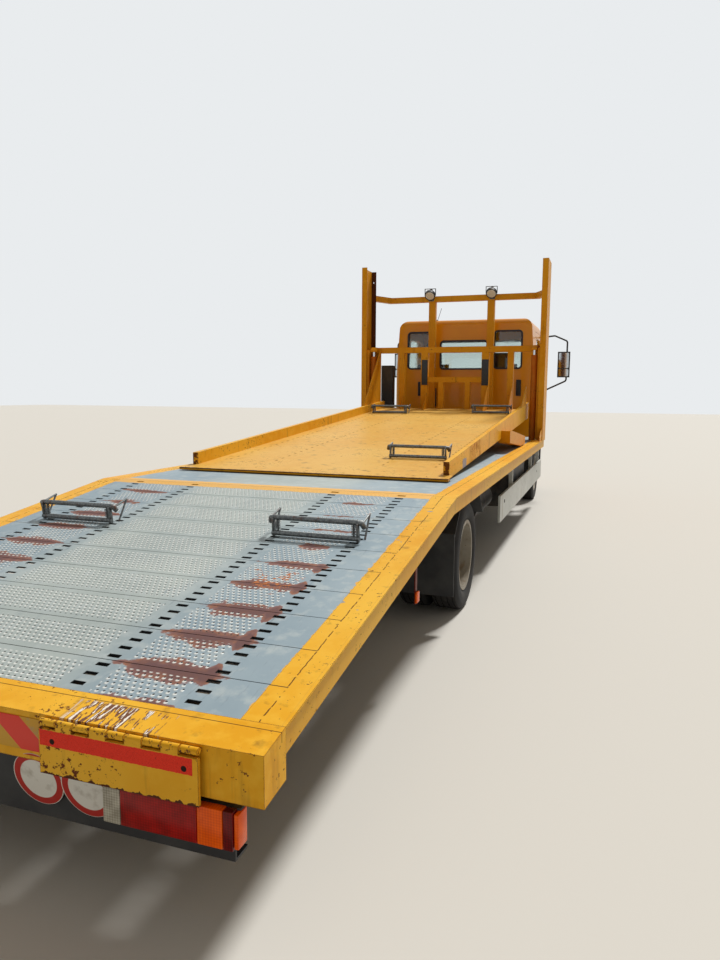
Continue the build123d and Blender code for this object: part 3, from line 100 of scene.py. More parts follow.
lamp = bpy.data.lights.new("high_lamp", "SUN")
lamp.energy = SUN_STRENGTH
lamp.angle = SUN_WIDTH
lamp.color = SUN_TINT
high = bpy.data.objects.new("high_lamp", lamp)
high.rotation_euler = Vector(TOWARDS_SUN).to_track_quat("Z", "Y").to_euler()
bpy.context.scene.collection.objects.link(high)

ground = bmesh.new()
bmesh.ops.create_grid(ground, x_segments=1, y_segments=1, size=FLOOR_REACH)
floor_mesh = bpy.data.meshes.new("studio_floor")
ground.to_mesh(floor_mesh)
ground.free()
floor = bpy.data.objects.new("studio_floor", floor_mesh)
bpy.context.scene.collection.objects.link(floor)
floor_paint = bpy.data.materials.new("matt_floor")
floor_paint.use_nodes = True
floor_shader = floor_paint.node_tree.nodes["Principled BSDF"]
floor_shader.inputs["Base Color"].default_value = shade(FLOOR)
floor_shader.inputs["Roughness"].default_value = 0.9
floor_mesh.materials.append(floor_paint)

# Camera: it stands behind the right rear corner, at a person's eye height, and looks forward and a little
# down along the truck. Its yaw, pitch and roll are in radians.
YAW, PITCH, ROLL = -0.3346, 0.1208, 0.0068
EYE = (2.1166, -7.0087, 1.5916)
PICTURE_HEIGHT = 960
FOCAL_PIXELS = 716.44
forward = Vector((math.sin(YAW) * math.cos(PITCH), math.cos(YAW) * math.cos(PITCH), -math.sin(PITCH)))
level = Vector((math.cos(YAW), -math.sin(YAW), 0))
upright = level.cross(forward)
across = level * math.cos(ROLL) + upright * math.sin(ROLL)
upward = upright * math.cos(ROLL) - level * math.sin(ROLL)
lens = bpy.data.cameras.new("camera")
lens.sensor_width = 36
lens.lens = lens.sensor_width * FOCAL_PIXELS / PICTURE_HEIGHT
lens.clip_end = 200
camera = bpy.data.objects.new("camera", lens)
turn = Matrix((across, upward, -forward)).transposed().to_4x4()
camera.matrix_world = Matrix.Translation(EYE) @ turn
bpy.context.scene.collection.objects.link(camera)
bpy.context.scene.camera = camera
bpy.context.scene.view_settings.view_transform = "Standard"

# Gantry, headboard, deck beams, arms and carriages: welded mild steel, sprayed with a yellow enamel that
# has faded on top, chipped along its edges and rusted through. The other yellow pieces take the same enamel.
TRUCK_MIDDLE = 5.3625
GRIME = "#6e4c18"
RUST = "#5a3423"
# the darker pair is a shaded copy of the yellow enamel, as painted shade, for the gantry, headboard, beams,
# arms, carriages and guide posts
SHADED_YELLOW = ("#d08a08", "#da9c24")
EDGE_RADIUS = 0.006


def forward_of_sill(y):
    """A length ahead of the sill's rear face, as a place in the frame."""
    return y - TRUCK_MIDDLE


def between(first, last):
    """Two such lengths, as limits in the frame."""
    return forward_of_sill(first), forward_of_sill(last)


def blank(name):
    """A new material, its tree, its Principled shader and the object coordinates."""
    made = bpy.data.materials.new(name)
    made.use_nodes = True
    tree = made.node_tree
    return made, tree, tree.nodes["Principled BSDF"], node(tree, "TexCoord").outputs["Object"]


def axes(tree, place):
    """Places to the right, ahead and up, and the distance out from the truck's middle."""
    x, y, z = node(tree, "SeparateXYZ", place).outputs
    return x, y, z, node(tree, "Math.ABSOLUTE", x)


def grain(tree, place, scale, detail=4, stretch=(1, 1, 1), rough=0.55):
    """Noise in cycles per metre, which is 1000 over its size in millimetres. A stretch below one draws it
    out along an axis."""
    moved = node(tree, "VectorMath.MULTIPLY", place, stretch)
    return node(tree, "TexNoise", moved, Scale=scale, Detail=detail, Roughness=rough)


def tone(tree, mask, low, high, first, second):
    """Goes from a first to a second colour, where a mask rises from low to high."""
    mix = node(tree, "Mix", node(tree, "MapRange", mask, low, high), data_type="RGBA")
    put(tree, first, mix.inputs[6])
    put(tree, second, mix.inputs[7])
    return mix


def surface(tree, shader, coat, rough, height=None, strength=0.0, distance=0.0):
    """Gives a shader its colour and roughness, and the relief of a height."""
    put(tree, coat, shader.inputs["Base Color"])
    put(tree, rough, shader.inputs["Roughness"])
    if height is not None:
        relief = node(tree, "Bump", Strength=strength, Distance=distance, Height=height)
        put(tree, relief, shader.inputs["Normal"])


def over(tree, shader, mask, colour, rough=None):
    """Lays a colour, and a roughness, over what a shader shows so far, where a mask is one."""
    coat, gloss = shader.inputs["Base Color"], shader.inputs["Roughness"]
    put(tree, tone(tree, mask, 0, 1, coat.links[0].from_socket, colour), coat)
    if rough is not None:
        before = gloss.links[0].from_socket if gloss.links else gloss.default_value
        put(tree, node(tree, "Mix", mask, None, before, rough), gloss)


def within(tree, value, low, high, soft=0.0015):
    """One while a value lies between two limits, with soft ends."""
    middle, half = (low + high) / 2, (high - low) / 2
    away = node(tree, "Math.ABSOLUTE", node(tree, "Math.SUBTRACT", value, middle))
    return node(tree, "MapRange", away, half + soft, half - soft)


def every(tree, *masks):
    """The product of several masks."""
    first, *rest = masks
    for mask in rest:
        first = node(tree, "Math.MULTIPLY", first, mask)
    return first


def edges(tree):
    """One where the surface bends, nought on flats."""
    rounded = node(tree, "Bevel", EDGE_RADIUS, samples=4)
    flat = node(tree, "NewGeometry").outputs["Normal"]
    return node(tree, "Math.SUBTRACT", 1.0, node(tree, "VectorMath.DOT_PRODUCT", rounded, flat))


def worn_enamel(name, fresh, faded, rust, chips, wear, dirt):
    """Enamel on steel: chips is the share of rust spots, wear that of bare edges, dirt that of grime."""
    made, tree, shader, place = blank(name)
    # rust spots of 22 mm in groups of 0.4 m, mottling of 60 mm, fading over 0.8 m, and runs of 70 mm that are
    # drawn out downwards; the skin's grit of 2.4 mm is coarser than the real one, so that it shows
    spots = grain(tree, place, 46, 5, rough=0.7)
    mottled = grain(tree, place, 17, 5)
    coat = tone(tree, grain(tree, place, 1.3, 3), 0.35, 0.68, fresh, faded)
    coat = tone(tree, mottled, 0.45, 0.78, coat, faded)
    runs = grain(tree, place, 9, 4, stretch=(1.6, 1.6, 0.16))
    coat = tone(tree, runs, 0.66 - 0.14 * dirt, 0.92 - 0.1 * dirt, coat, GRIME)
    grouped = node(tree, "Math.MULTIPLY_ADD", grain(tree, place, 2.6, 3), 0.42, spots)
    chipped = node(tree, "MapRange", grouped, 0.905 - 0.1 * chips, 0.93 - 0.1 * chips)
    patches = node(tree, "Math.MULTIPLY", edges(tree), spots)
    patches = node(tree, "MapRange", patches, 0.16 - 0.12 * wear, 0.24 - 0.12 * wear)
    coat = tone(tree, chipped, 0, 1, coat, rust)
    coat = tone(tree, patches, 0, 1, coat, rust)
    broken = node(tree, "Math.MAXIMUM", chipped, patches)
    fine = grain(tree, place, 420, 2)
    skin = node(tree, "Math.MULTIPLY_ADD", fine, 0.12, mottled)
    depth = node(tree, "Math.SUBTRACT", skin, broken)
    surface(tree, shader, coat, node(tree, "MapRange", broken, 0, 1, 0.42, 0.85), depth, 0.35, 0.002)
    shader.inputs["Specular IOR Level"].default_value = 0.12
    return made, tree, shader, place


def finish_with(material, *names):
    """Gives CAD nodes a material."""
    for name in names:
        slots = nodes[name].data.materials
        slots.clear()
        slots.append(material)


body_enamel = worn_enamel("yellow_enamel_on_steel", *SHADED_YELLOW, RUST, 0.35, 0.75, 0.4)[0]
finish_with(body_enamel, "gantry_frame", "headboard", "deck_carriages", "deck_arms", "deck_beams")

# Deck rails: folded steel channels in the same enamel, rusted at their open rear ends. The right one is
# knocked on its outer side, where a grey patch and a rusty run show.
PATCH_Y = between(3.86, 4.01)
PATCH_Z = (1.012, 1.098)
STREAK_Y = between(4.15, 4.65)
END_RUST_Y = forward_of_sill(3.336)
RIGHT_RAIL_FACE = 1.048
# the paler pair is a sunlit copy of the same yellow enamel, as painted sunlight, for the deck rails and side
# rails
SUNLIT_YELLOW = ("#dd9d0a", "#e8b638")
deck_rail_enamel, tree, shader, place = worn_enamel(
    "deck_rail_enamel_on_steel", *SUNLIT_YELLOW, RUST, 0.5, 0.85, 0.5
)
x, y, z, _ = axes(tree, place)
torn = node(tree, "Math.MULTIPLY_ADD", grain(tree, place, 40, 5, rough=0.7), -0.05, y)
end_rust = node(tree, "Math.LESS_THAN", torn, END_RUST_Y)
patchy = node(tree, "Math.GREATER_THAN", grain(tree, place, 26, 5, rough=0.65), 0.48)
over(tree, shader, every(tree, end_rust, patchy), "#6d4520", 0.85)
outer_side = node(tree, "Math.GREATER_THAN", x, RIGHT_RAIL_FACE)
wiped = grain(tree, place, 30, 5)
patch_y = within(tree, node(tree, "Math.MULTIPLY_ADD", wiped, 0.02, y), *PATCH_Y, 0.004)
patch_z = within(tree, node(tree, "Math.MULTIPLY_ADD", wiped, 0.02, z), *PATCH_Z, 0.003)
over(tree, shader, every(tree, patch_y, patch_z, outer_side), "#9a96a0", 0.6)
drawn = grain(tree, place, 60, 4, stretch=(1, 1, 0.15))
rusty_run = node(tree, "Math.GREATER_THAN", drawn, 0.52)
rusty_run = every(tree, within(tree, y, *STREAK_Y, 0.02), outer_side, rusty_run)
over(tree, shader, rusty_run, "#a0601e", 0.8)
finish_with(deck_rail_enamel, "deck_rails")

# Guide posts: the same enamel on folded channels, painted with patches of dark brown on the front flanges.
FRONT_FLANGE_Y = between(8.548, 8.57)
post_enamel, tree, shader, place = worn_enamel("post_enamel_on_steel", *SHADED_YELLOW, RUST, 0.35, 0.75, 0.4)
y = axes(tree, place)[1]
# patches of dark brown on the front flanges
patches = node(tree, "Math.GREATER_THAN", grain(tree, place, 5, 5, stretch=(1, 1, 0.3)), 0.36)
over(tree, shader, every(tree, within(tree, y, *FRONT_FLANGE_Y), patches), "#4b2c1c", 0.8)
finish_with(post_enamel, "guide_posts")

# Side rails: folded steel whose enamel laps over the planks' ends, so the seams run on through its inner
# part up to a weld line. Knocks have taken it off down to grey metal.
PLANK = 0.245
SEAM_HALF = 0.0022
KINK_Y = forward_of_sill(2.541)
WELD_X = 1.183
KNOCKED_OUT = (1.12, 1.215)
CORNER_OUT = (1.2595, 1.2625)
rail_enamel, tree, shader, place = worn_enamel("rail_enamel_on_steel", *SUNLIT_YELLOW, RUST, 0.4, 0.8, 0.35)
_, y, _, out = axes(tree, place)
seam = node(tree, "Math.PINGPONG", node(tree, "Math.SUBTRACT", y, KINK_Y), PLANK / 2)
weld_x = node(tree, "Math.MULTIPLY_ADD", grain(tree, place, 24, 3), 0.010, WELD_X)
lap = node(tree, "Math.LESS_THAN", out, weld_x)
behind = node(tree, "Math.LESS_THAN", y, KINK_Y)
over(tree, shader, every(tree, node(tree, "Math.LESS_THAN", seam, SEAM_HALF), lap, behind), "#4a3a20", 0.8)
weld = node(tree, "Math.COMPARE", out, weld_x, SEAM_HALF)
broken = node(tree, "Math.GREATER_THAN", grain(tree, place, 33, 3), 0.45)
over(tree, shader, every(tree, weld, broken), "#6b4a20", 0.8)
knocks = node(tree, "Math.GREATER_THAN", grain(tree, place, 11, 4, rough=0.62), 0.672)
over(tree, shader, every(tree, knocks, within(tree, out, *KNOCKED_OUT, 0.01), behind), "#8f959a", 0.55)
# the rails' outer face is painted a quarter of the way to a dull tan, as painted shade on that side
outer_face_shade = every(tree, within(tree, out, *CORNER_OUT, 0.0005), 0.25)
over(tree, shader, outer_face_shade, "#b98a3c")
finish_with(rail_enamel, "bed_side_rails")

# Rear sill: a box section whose enamel is scraped by car wheels. Its top shows the seam of its capping
# plate and a patch scoured down to rust and bright scratches, and its hinge barrels are rusty.
HINGE_LINE = (forward_of_sill(-0.014), 0.601)
HINGE_OUT = (0.51, 1.11)
CAP_SEAM_Y = between(0.1105, 0.1135)
SCOURED_Y = between(-0.01, 0.105)
SCOURED_OUT = (0.60, 0.93)
TOP_FACE_Z = 0.6


def away_from(tree, first, second, centre):
    """Distance from a point, on the plane of two coordinates."""
    squares = [
        node(tree, "Math.POWER", node(tree, "Math.SUBTRACT", value, at), 2)
        for value, at in zip((first, second), centre)
    ]
    return node(tree, "Math.SQRT", node(tree, "Math.ADD", *squares))


def scraped(name, extra):
    """The enamel of the sill and flaps, with rust round the hinge."""
    made, tree, shader, place = worn_enamel(name, "#da9a0c", "#e8b434", "#6a3a22", 0.55 + extra, 0.9, 0.5)
    _, y, z, out = axes(tree, place)
    reach = node(tree, "Math.MULTIPLY_ADD", grain(tree, place, 55, 5, rough=0.7), 0.11, -0.053)
    near = node(tree, "Math.LESS_THAN", away_from(tree, y, z, HINGE_LINE), reach)
    brown = tone(tree, grain(tree, place, 120, 3), 0.4, 0.6, "#4f3226", "#7a4c30")
    over(tree, shader, every(tree, near, within(tree, out, *HINGE_OUT, 0.01)), brown, 0.85)
    return made, tree, shader, place


sill_enamel, tree, shader, place = scraped("sill_enamel_on_steel", 0.0)
_, y, z, out = axes(tree, place)
top = node(tree, "Math.GREATER_THAN", z, TOP_FACE_Z)
over(tree, shader, every(tree, within(tree, y, *CAP_SEAM_Y, 0.0008), top), "#4a3318", 0.8)
zone = every(tree, top, within(tree, out, *SCOURED_OUT, 0.03), within(tree, y, *SCOURED_Y, 0.004))
scoured = grain(tree, place, 9, 4)
lines = grain(tree, place, 75, 4, stretch=(1, 0.12, 0.12), rough=0.6)
rust_lines = node(tree, "Math.GREATER_THAN", node(tree, "Math.ADD", scoured, lines), 1.0)
over(tree, shader, every(tree, zone, rust_lines), "#74503f", 0.8)
bright = node(tree, "Math.GREATER_THAN", node(tree, "Math.MULTIPLY_ADD", scoured, 0.5, lines), 0.835)
over(tree, shader, every(tree, zone, bright), "#ece8e0", 0.4)
finish_with(sill_enamel, "rear_sill")

# Rear flaps: steel plates in the sill's scraped enamel, worn bare along the foot. A red reflective tape
# is bolted across the top of each.
TAPE_Z = (0.535, 0.585)
TAPE_OUT = (0.535, 1.066)
TAPE_BOLTS = ((0.581, 0.548), (1.038, 0.548))
TAPE_BOLT_RADIUS = 0.009
FLAP_REAR_Y = forward_of_sill(-0.02)
FLAP_FOOT = 0.421
flap_enamel, tree, shader, place = scraped("flap_enamel_on_steel", 0.15)
_, y, z, out = axes(tree, place)
wavy = node(tree, "Math.ADD", z, node(tree, "Math.MULTIPLY", grain(tree, place, 90, 3), 0.006))
outside = node(tree, "Math.LESS_THAN", y, FLAP_REAR_Y)
tape = every(tree, within(tree, wavy, *TAPE_Z, 0.0006), within(tree, out, *TAPE_OUT, 0.0006), outside)
# the tape's reflecting cells, 2.6 mm across
cell = node(tree, "TexVoronoi", place, Scale=380.0)
over(tree, shader, tape, tone(tree, cell, 0.1, 0.9, "#f23c26", "#d42c18"), 0.3)
worn_off = node(tree, "Math.GREATER_THAN", grain(tree, place, 70, 5, rough=0.7), 0.69)
over(tree, shader, every(tree, tape, worn_off), "#7d241c", 0.7)
for bolt in TAPE_BOLTS:
    head = node(tree, "Math.LESS_THAN", away_from(tree, out, z, bolt), TAPE_BOLT_RADIUS)
    over(tree, shader, head, "#2b1d18", 0.8)
foot = node(tree, "Math.MULTIPLY_ADD", grain(tree, place, 38, 4), 0.05, FLAP_FOOT)
over(tree, shader, node(tree, "Math.LESS_THAN", z, foot), "#553322", 0.85)
finish_with(flap_enamel, "rear_flap_left", "rear_flap_right")

# Upper deck sheet: steel sheet in enamel bleached by the sun, with rows of punched slots along both wheel
# tracks, paint flaking off near the rear edge and a bare brown lip.
DENT_PITCH = 0.125
DENT_SPAN = (0.3, 0.62)
DENT_ROWS = ((0.452, 0.468), (0.872, 0.888))
FIRST_DENT_Y = forward_of_sill(3.6)
FLAKING_Y = between(3.9, 3.25)
LIP_Y = forward_of_sill(3.1965)
deck_enamel, tree, shader, place = worn_enamel(
    "deck_enamel_on_steel", "#d39f40", "#dbb15a", "#7b4a2c", 0.45, 0.55, 0.55
)
_, y, _, out = axes(tree, place)
phase = node(tree, "Math.FRACT", node(tree, "Math.DIVIDE", y, DENT_PITCH))
rows = node(tree, "Math.MAXIMUM", *(within(tree, out, *row, 0.003) for row in DENT_ROWS))
ahead = node(tree, "Math.GREATER_THAN", y, FIRST_DENT_Y)
dents = every(tree, within(tree, phase, *DENT_SPAN, 0.05), rows, ahead, 0.8)
over(tree, shader, dents, "#8a5c1c", 0.8)
streak = grain(tree, place, 42, 5, stretch=(0.22, 1, 1), rough=0.68)
more = node(tree, "MapRange", y, *FLAKING_Y, 0.0, 0.1)
flaking = node(tree, "Math.GREATER_THAN", node(tree, "Math.ADD", streak, more), 0.74)
over(tree, shader, flaking, "#6a4323", 0.85)
lip = node(tree, "Math.LESS_THAN", y, node(tree, "Math.MULTIPLY_ADD", grain(tree, place, 30, 4), 0.03, LIP_Y))
over(tree, shader, lip, "#4d2f1d", 0.85)
finish_with(deck_enamel, "deck_plate")

# Bed planks: cold-rolled steel sections across the sloped bed, hot-dip galvanised and then greyed by
# weather. Their tracks and middle are punched with small raised holes for grip, and rust where wheels run.
GRIP_X, GRIP_Y = 0.026, 0.050
HOLE = 0.0042
COLLAR = 0.0088
LIT_LIP = 0.007
PLANK_EDGE = 0.030
BED_RISE = 0.362 / 2.541
SILL_TOP = 0.615
MIDDLE_OUT = 0.43
TRACK_OUT = (0.575, 0.875)
RUST_OUT = 0.755
RUST_HALF_X, RUST_HALF_Y = 0.17, 0.055
THINNING_Y = between(0.3, 2.0)
TABS_X = (0.885, 0.925)
TABS_Y = between(0.30, 1.35)
BARE_X = (0.60, 0.90)
BARE_Y = between(0.98, 1.32)
STRIPE_Y = between(2.487, 2.655)
LAPPED_OUT = 1.163


def punched(tree, place, behind=0.0):
    """Distance to the nearest of the holes, which stand in two sets, or to a place behind it."""
    sets = []
    for shift in (0.0, 0.5):
        moved = (shift, shift + behind / GRIP_Y, 0)
        scaled = node(tree, "VectorMath.MULTIPLY_ADD", place, (1 / GRIP_X, 1 / GRIP_Y, 0), moved)
        part = node(tree, "VectorMath.FRACTION", scaled)
        centred = (-GRIP_X / 2, -GRIP_Y / 2, 0)
        sized = node(tree, "VectorMath.MULTIPLY_ADD", part, (GRIP_X, GRIP_Y, 0), centred)
        sets.append(node(tree, "VectorMath.LENGTH", sized))
    return node(tree, "Math.MINIMUM", *sets)


def bed_steel(name):
    """Weathered galvanised sheet, dented and streaked by tyres, and its height."""
    made, tree, shader, place = blank(name)
    slow = grain(tree, place, 2.2, 4)
    cloudy = grain(tree, place, 14, 5)
    out = axes(tree, place)[3]
    sides = tone(tree, slow, 0.35, 0.65, "#7c8f9b", "#8c9da7")
    middle = tone(tree, slow, 0.35, 0.65, "#949f9f", "#a4aeac")
    coat = tone(tree, out, 0.62, 0.35, sides, middle)
    coat = tone(tree, cloudy, 0.5, 0.8, coat, "#a7b1b3")
    scuffs = grain(tree, place, 60, 3, stretch=(1, 0.05, 1))
    coat = tone(tree, scuffs, 0.62, 0.8, coat, "#707e87")
    surface(tree, shader, coat, 0.55)
    shader.inputs["Metallic"].default_value = 0.2
    return made, tree, shader, place, cloudy


def bed_paint(tree, shader, place, painted, height):
    """The yellow stripe at the bed's kink, the kink line, the rails' lapped enamel, and the relief."""
    _, y, _, out = axes(tree, place)
    over(tree, shader, every(tree, painted, 0.92), "#dba434", 0.5)
    bend = node(tree, "Math.MULTIPLY_ADD", grain(tree, place, 6, 4), 0.03, KINK_Y + 0.004)
    over(tree, shader, node(tree, "Math.COMPARE", y, bend, 0.004), "#5b3c1c", 0.8)
    lapped = node(tree, "Math.MULTIPLY_ADD", grain(tree, place, 16, 5, rough=0.65), 0.07, out)
    over(tree, shader, node(tree, "Math.GREATER_THAN", lapped, LAPPED_OUT), "#d9a024", 0.5)
    relief = node(tree, "Bump", Strength=0.6, Distance=0.002, Height=height)
    put(tree, relief, shader.inputs["Normal"])


grip_planks, tree, shader, place, cloudy = bed_steel("galvanised_grip_planks")
x, y, z, out = axes(tree, place)
seam = node(tree, "Math.PINGPONG", node(tree, "Math.SUBTRACT", y, KINK_Y), PLANK / 2)
centre_lane = node(tree, "Math.LESS_THAN", out, MIDDLE_OUT)
lanes = node(tree, "Math.MAXIMUM", centre_lane, within(tree, out, *TRACK_OUT))
zone = every(tree, lanes, node(tree, "Math.GREATER_THAN", seam, PLANK_EDGE))
rim = every(tree, node(tree, "MapRange", punched(tree, place, LIT_LIP), COLLAR, HOLE), zone)
hole = every(tree, node(tree, "Math.LESS_THAN", punched(tree, place), HOLE), zone)
# rust: lens-shaped bands at the seams in the wheel tracks, thinning out up the slope, more on the left
thick = node(tree, "Math.MULTIPLY_ADD", seam, -1 / RUST_HALF_Y, 1.0)
aside = node(tree, "Math.DIVIDE", node(tree, "Math.SUBTRACT", out, RUST_OUT), RUST_HALF_X)
rust = node(tree, "Math.MULTIPLY_ADD", node(tree, "Math.POWER", aside, 2), -0.8, thick)
slope = node(tree, "MapRange", y, *THINNING_Y, 0.28, -0.75)
rust = node(tree, "Math.ADD", rust, slope)
left = node(tree, "Math.MULTIPLY", node(tree, "Math.LESS_THAN", x, 0.0), 0.35)
ragged = node(tree, "Math.MULTIPLY_ADD", grain(tree, place, 8, 6, rough=0.66), 3.0, left)
tabs = every(tree, within(tree, x, *TABS_X, 0.012), within(tree, y, *TABS_Y, 0.1))
rust = node(tree, "Math.ADD", node(tree, "Math.ADD", rust, ragged), tabs)
brown = tone(tree, grain(tree, place, 30, 4), 0.42, 0.62, "#77534f", "#8a5a42")
over(tree, shader, node(tree, "MapRange", rust, 1.32, 1.5), brown, 0.8)
over(tree, shader, node(tree, "MapRange", rust, 1.6, 2.1, 0.0, 0.8), "#5a3d3e", 0.85)
orange = node(tree, "Math.GREATER_THAN", grain(tree, place, 5.5, 6, rough=0.7), 0.60)
speckled = node(tree, "Math.GREATER_THAN", grain(tree, place, 60, 4, rough=0.7), 0.5)
bare = every(tree, within(tree, x, *BARE_X, 0.03), orange, speckled, within(tree, y, *BARE_Y, 0.05))
over(tree, shader, bare, "#a8622c", 0.8)
# the lit side of each raised collar is painted pale, as a painted highlight, and each hole near-black, as the
# painted shade under the sheet
over(tree, shader, every(tree, rim, 0.85), "#dfe2df", 0.4)
over(tree, shader, hole, "#16191b", 0.9)
# everything below the planks' faces is painted near-black, as the painted shade under the bed
face = node(tree, "Math.MULTIPLY_ADD", y, BED_RISE, SILL_TOP + TRUCK_MIDDLE * BED_RISE)
below = node(tree, "Math.GREATER_THAN", node(tree, "Math.SUBTRACT", face, z), 0.0016)
over(tree, shader, below, "#08090a", 0.95)
ragged_y = node(tree, "Math.MULTIPLY_ADD", grain(tree, place, 30, 3), 0.03, y)
height = node(tree, "Math.SUBTRACT", node(tree, "Math.MULTIPLY_ADD", cloudy, 0.12, rim), hole)
bed_paint(tree, shader, place, node(tree, "Math.GREATER_THAN", ragged_y, STRIPE_Y[0]), height)
finish_with(grip_planks, "slope_floor")

# Level floor: plain sheet of the same galvanised steel ahead of the kink, with a few rust stains.
# It has no holes, and the yellow stripe laps onto its rear end.
plain_sheet, tree, shader, place, cloudy = bed_steel("galvanised_plain_sheet")
y = axes(tree, place)[1]
stains = grain(tree, place, 7, 6, rough=0.66)
over(tree, shader, node(tree, "MapRange", stains, 0.66, 0.69), "#7d5a4c", 0.8)
ragged_y = node(tree, "Math.MULTIPLY_ADD", grain(tree, place, 30, 3), 0.03, y)
bed_paint(tree, shader, place, node(tree, "Math.LESS_THAN", ragged_y, STRIPE_Y[1]), cloudy)
finish_with(plain_sheet, "level_floor")

# Chassis, axles, beams, tank and driveline: pressed and welded steel in black chassis paint, under a coat
# of road dust that lies thicker where the surface looks up.
chassis, tree, shader, place = blank("dusty_chassis_paint")
dust = grain(tree, place, 7, 5)
facing = node(tree, "SeparateXYZ", node(tree, "NewGeometry").outputs["Normal"]).outputs["Z"]
lying = node(tree, "Math.MULTIPLY_ADD", facing, 0.22, dust)
surface(tree, shader, tone(tree, lying, 0.42, 0.85, "#1b1b1c", "#6d6355"), 0.62, dust, 0.3, 0.002)
finish_with(
    chassis, "chassis_frame", "bed_beams", "bed_cross_members", "rear_axle", "front_axle", "knuckle_left",
    "knuckle_right", "driveline", "fuel_tank", "battery_box", "air_tanks", "cab_floor",
)

# Black plastic: mudguards, bumpers, steps, grille, mirror shells, lamp shells and the air intake, all
# injection-moulded with a fine leather grain and greyed by the sun.
plastic, tree, shader, place = blank("black_moulded_plastic")
# the leather grain is 1.7 mm across, coarser than the real one, so that it shows
leather = node(tree, "TexVoronoi", place, Scale=600.0)
greyed = tone(tree, grain(tree, place, 5, 4), 0.4, 0.75, "#17181a", "#3a3a39")
surface(tree, shader, greyed, 0.55, leather, 0.2, 0.0005)
finish_with(
    plastic, "rear_mudguards", "front_bumper", "cab_steps", "grille", "mirrors", "air_intake", "rear_bumper",
    "work_lamps",
)

# Side guards: sheet panels in a greyish white paint with road splash along the lower edge. Each has two
# dark holes, longer than they are high.
GUARD_HOLES = ((5.19, 0.579), (8.337, 0.551))
HOLE_SQUEEZE = 0.55
HOLE_RADIUS = 0.018
guard_paint, tree, shader, place = worn_enamel(
    "white_enamel_on_sheet", "#c6c9c6", "#b2b5b1", "#6d5a4a", 0.1, 0.2, 0.35
)
_, y, z, _ = axes(tree, place)
squeezed = node(tree, "Math.MULTIPLY", y, HOLE_SQUEEZE)
for hole_y, hole_z in GUARD_HOLES:
    centre = (forward_of_sill(hole_y) * HOLE_SQUEEZE, hole_z)
    inside = node(tree, "Math.LESS_THAN", away_from(tree, squeezed, z, centre), HOLE_RADIUS)
    over(tree, shader, inside, "#161616", 0.9)
finish_with(guard_paint, "side_guards")

# Lift cylinders: the barrels are steel tube sprayed in the body's colour and darkened by oil and dust,
# and the rods are hard-chromed.
barrel_paint = worn_enamel("oily_enamel_on_tube", "#b25f14", "#b9701f", "#4a2a18", 0.4, 0.3, 0.8)[0]
finish_with(barrel_paint, "lift_barrels")
chrome, tree, shader, place = blank("hard_chrome")
fine = grain(tree, place, 900, 2, stretch=(1, 1, 0.02))
surface(tree, shader, "#c9cbcc", node(tree, "MapRange", fine, 0, 1, 0.08, 0.2))
shader.inputs["Metallic"].default_value = 1.0
finish_with(chrome, "lift_rods")

# Cab panels: pressed steel in a glossy orange-yellow top coat with light dust in its pores.
# The clear coat is thin, and an orange-peel ripple breaks up what it mirrors.
cab_paint, tree, shader, place = blank("glossy_cab_enamel")
coat = tone(tree, grain(tree, place, 3.5, 4), 0.4, 0.8, "#dc940a", "#d48a10")
surface(tree, shader, coat, 0.3, grain(tree, place, 350, 2), 0.05, 0.0004)
shader.inputs["Specular IOR Level"].default_value = 0.25
shader.inputs["Coat Weight"].default_value = 0.2
shader.inputs["Coat Roughness"].default_value = 0.12
finish_with(cab_paint, "cab_roof", "cab_rear_wall", "cab_front", "cab_sides", "door_left", "door_right")

# Window panes: tempered glass with a slight green tint and a thin film of dust. The windscreen has a
# black printed border that hides the glue.
SCREEN_Y = forward_of_sill(10.3)
SCREEN_FOOT = 1.5
CLEAR_OUT = 0.872
CLEAR_Z = (1.728, 2.442)
glass, tree, shader, place = blank("tempered_glass")
_, y, z, out = axes(tree, place)
clear = every(tree, node(tree, "Math.LESS_THAN", out, CLEAR_OUT), within(tree, z, *CLEAR_Z))
screen = node(tree, "Math.GREATER_THAN", y, SCREEN_Y)
above = node(tree, "Math.GREATER_THAN", z, SCREEN_FOOT)
border = every(tree, screen, above, node(tree, "Math.SUBTRACT", 1.0, clear))
film = node(tree, "MapRange", grain(tree, place, 6, 4), 0.4, 0.9, 0.02, 0.22)
surface(tree, shader, tone(tree, border, 0.0, 1.0, "#dfe9e6", "#0b0b0c"), film)
put(tree, node(tree, "Math.SUBTRACT", 1.0, border), shader.inputs["Transmission Weight"])
shader.inputs["IOR"].default_value = 1.5
finish_with(glass, "cab_glass", "door_glass_left", "door_glass_right", "headlamps")

# Cab trim: a grey moulded dashboard and seats in a woven grey cloth, seen through the windows. One cloth
# finish serves for both.
trim, tree, shader, place = blank("grey_seat_cloth")
# the weave is 4 mm across, coarser than the real one, so that it shows
weave = node(tree, "TexVoronoi", place, Scale=260.0)
surface(tree, shader, tone(tree, weave, 0.2, 0.9, "#3b3d42", "#26282b"), 0.9, weave, 0.4, 0.001)
shader.inputs["Sheen Weight"].default_value = 0.2
finish_with(trim, "cab_interior")

# Tyres: 19.5-inch radial truck tyres with a ribbed road tread, moulded in black rubber that has
# turned grey-brown with dust on its walls.
TYRE_RADIUS = 0.400
TYRE_HALF = 0.106
TREAD_DEPTH = 0.012
FRONT_AXLE_Y = forward_of_sill(9.490)
REAR_AXLE_Y = forward_of_sill(3.562)
FRONT_WHEEL_X = 0.970
REAR_WHEELS_X = (0.809, 1.051)
SHARP = math.radians(35)
rubber, tree, shader, place = blank("dusty_tyre_rubber")
# both colours are darker than the rubber is, as painted shade
coat = tone(tree, grain(tree, place, 9, 5), 0.35, 0.75, "#0c0b0b", "#29241f")
surface(tree, shader, coat, 0.85, grain(tree, place, 300, 3), 0.25, 0.001)


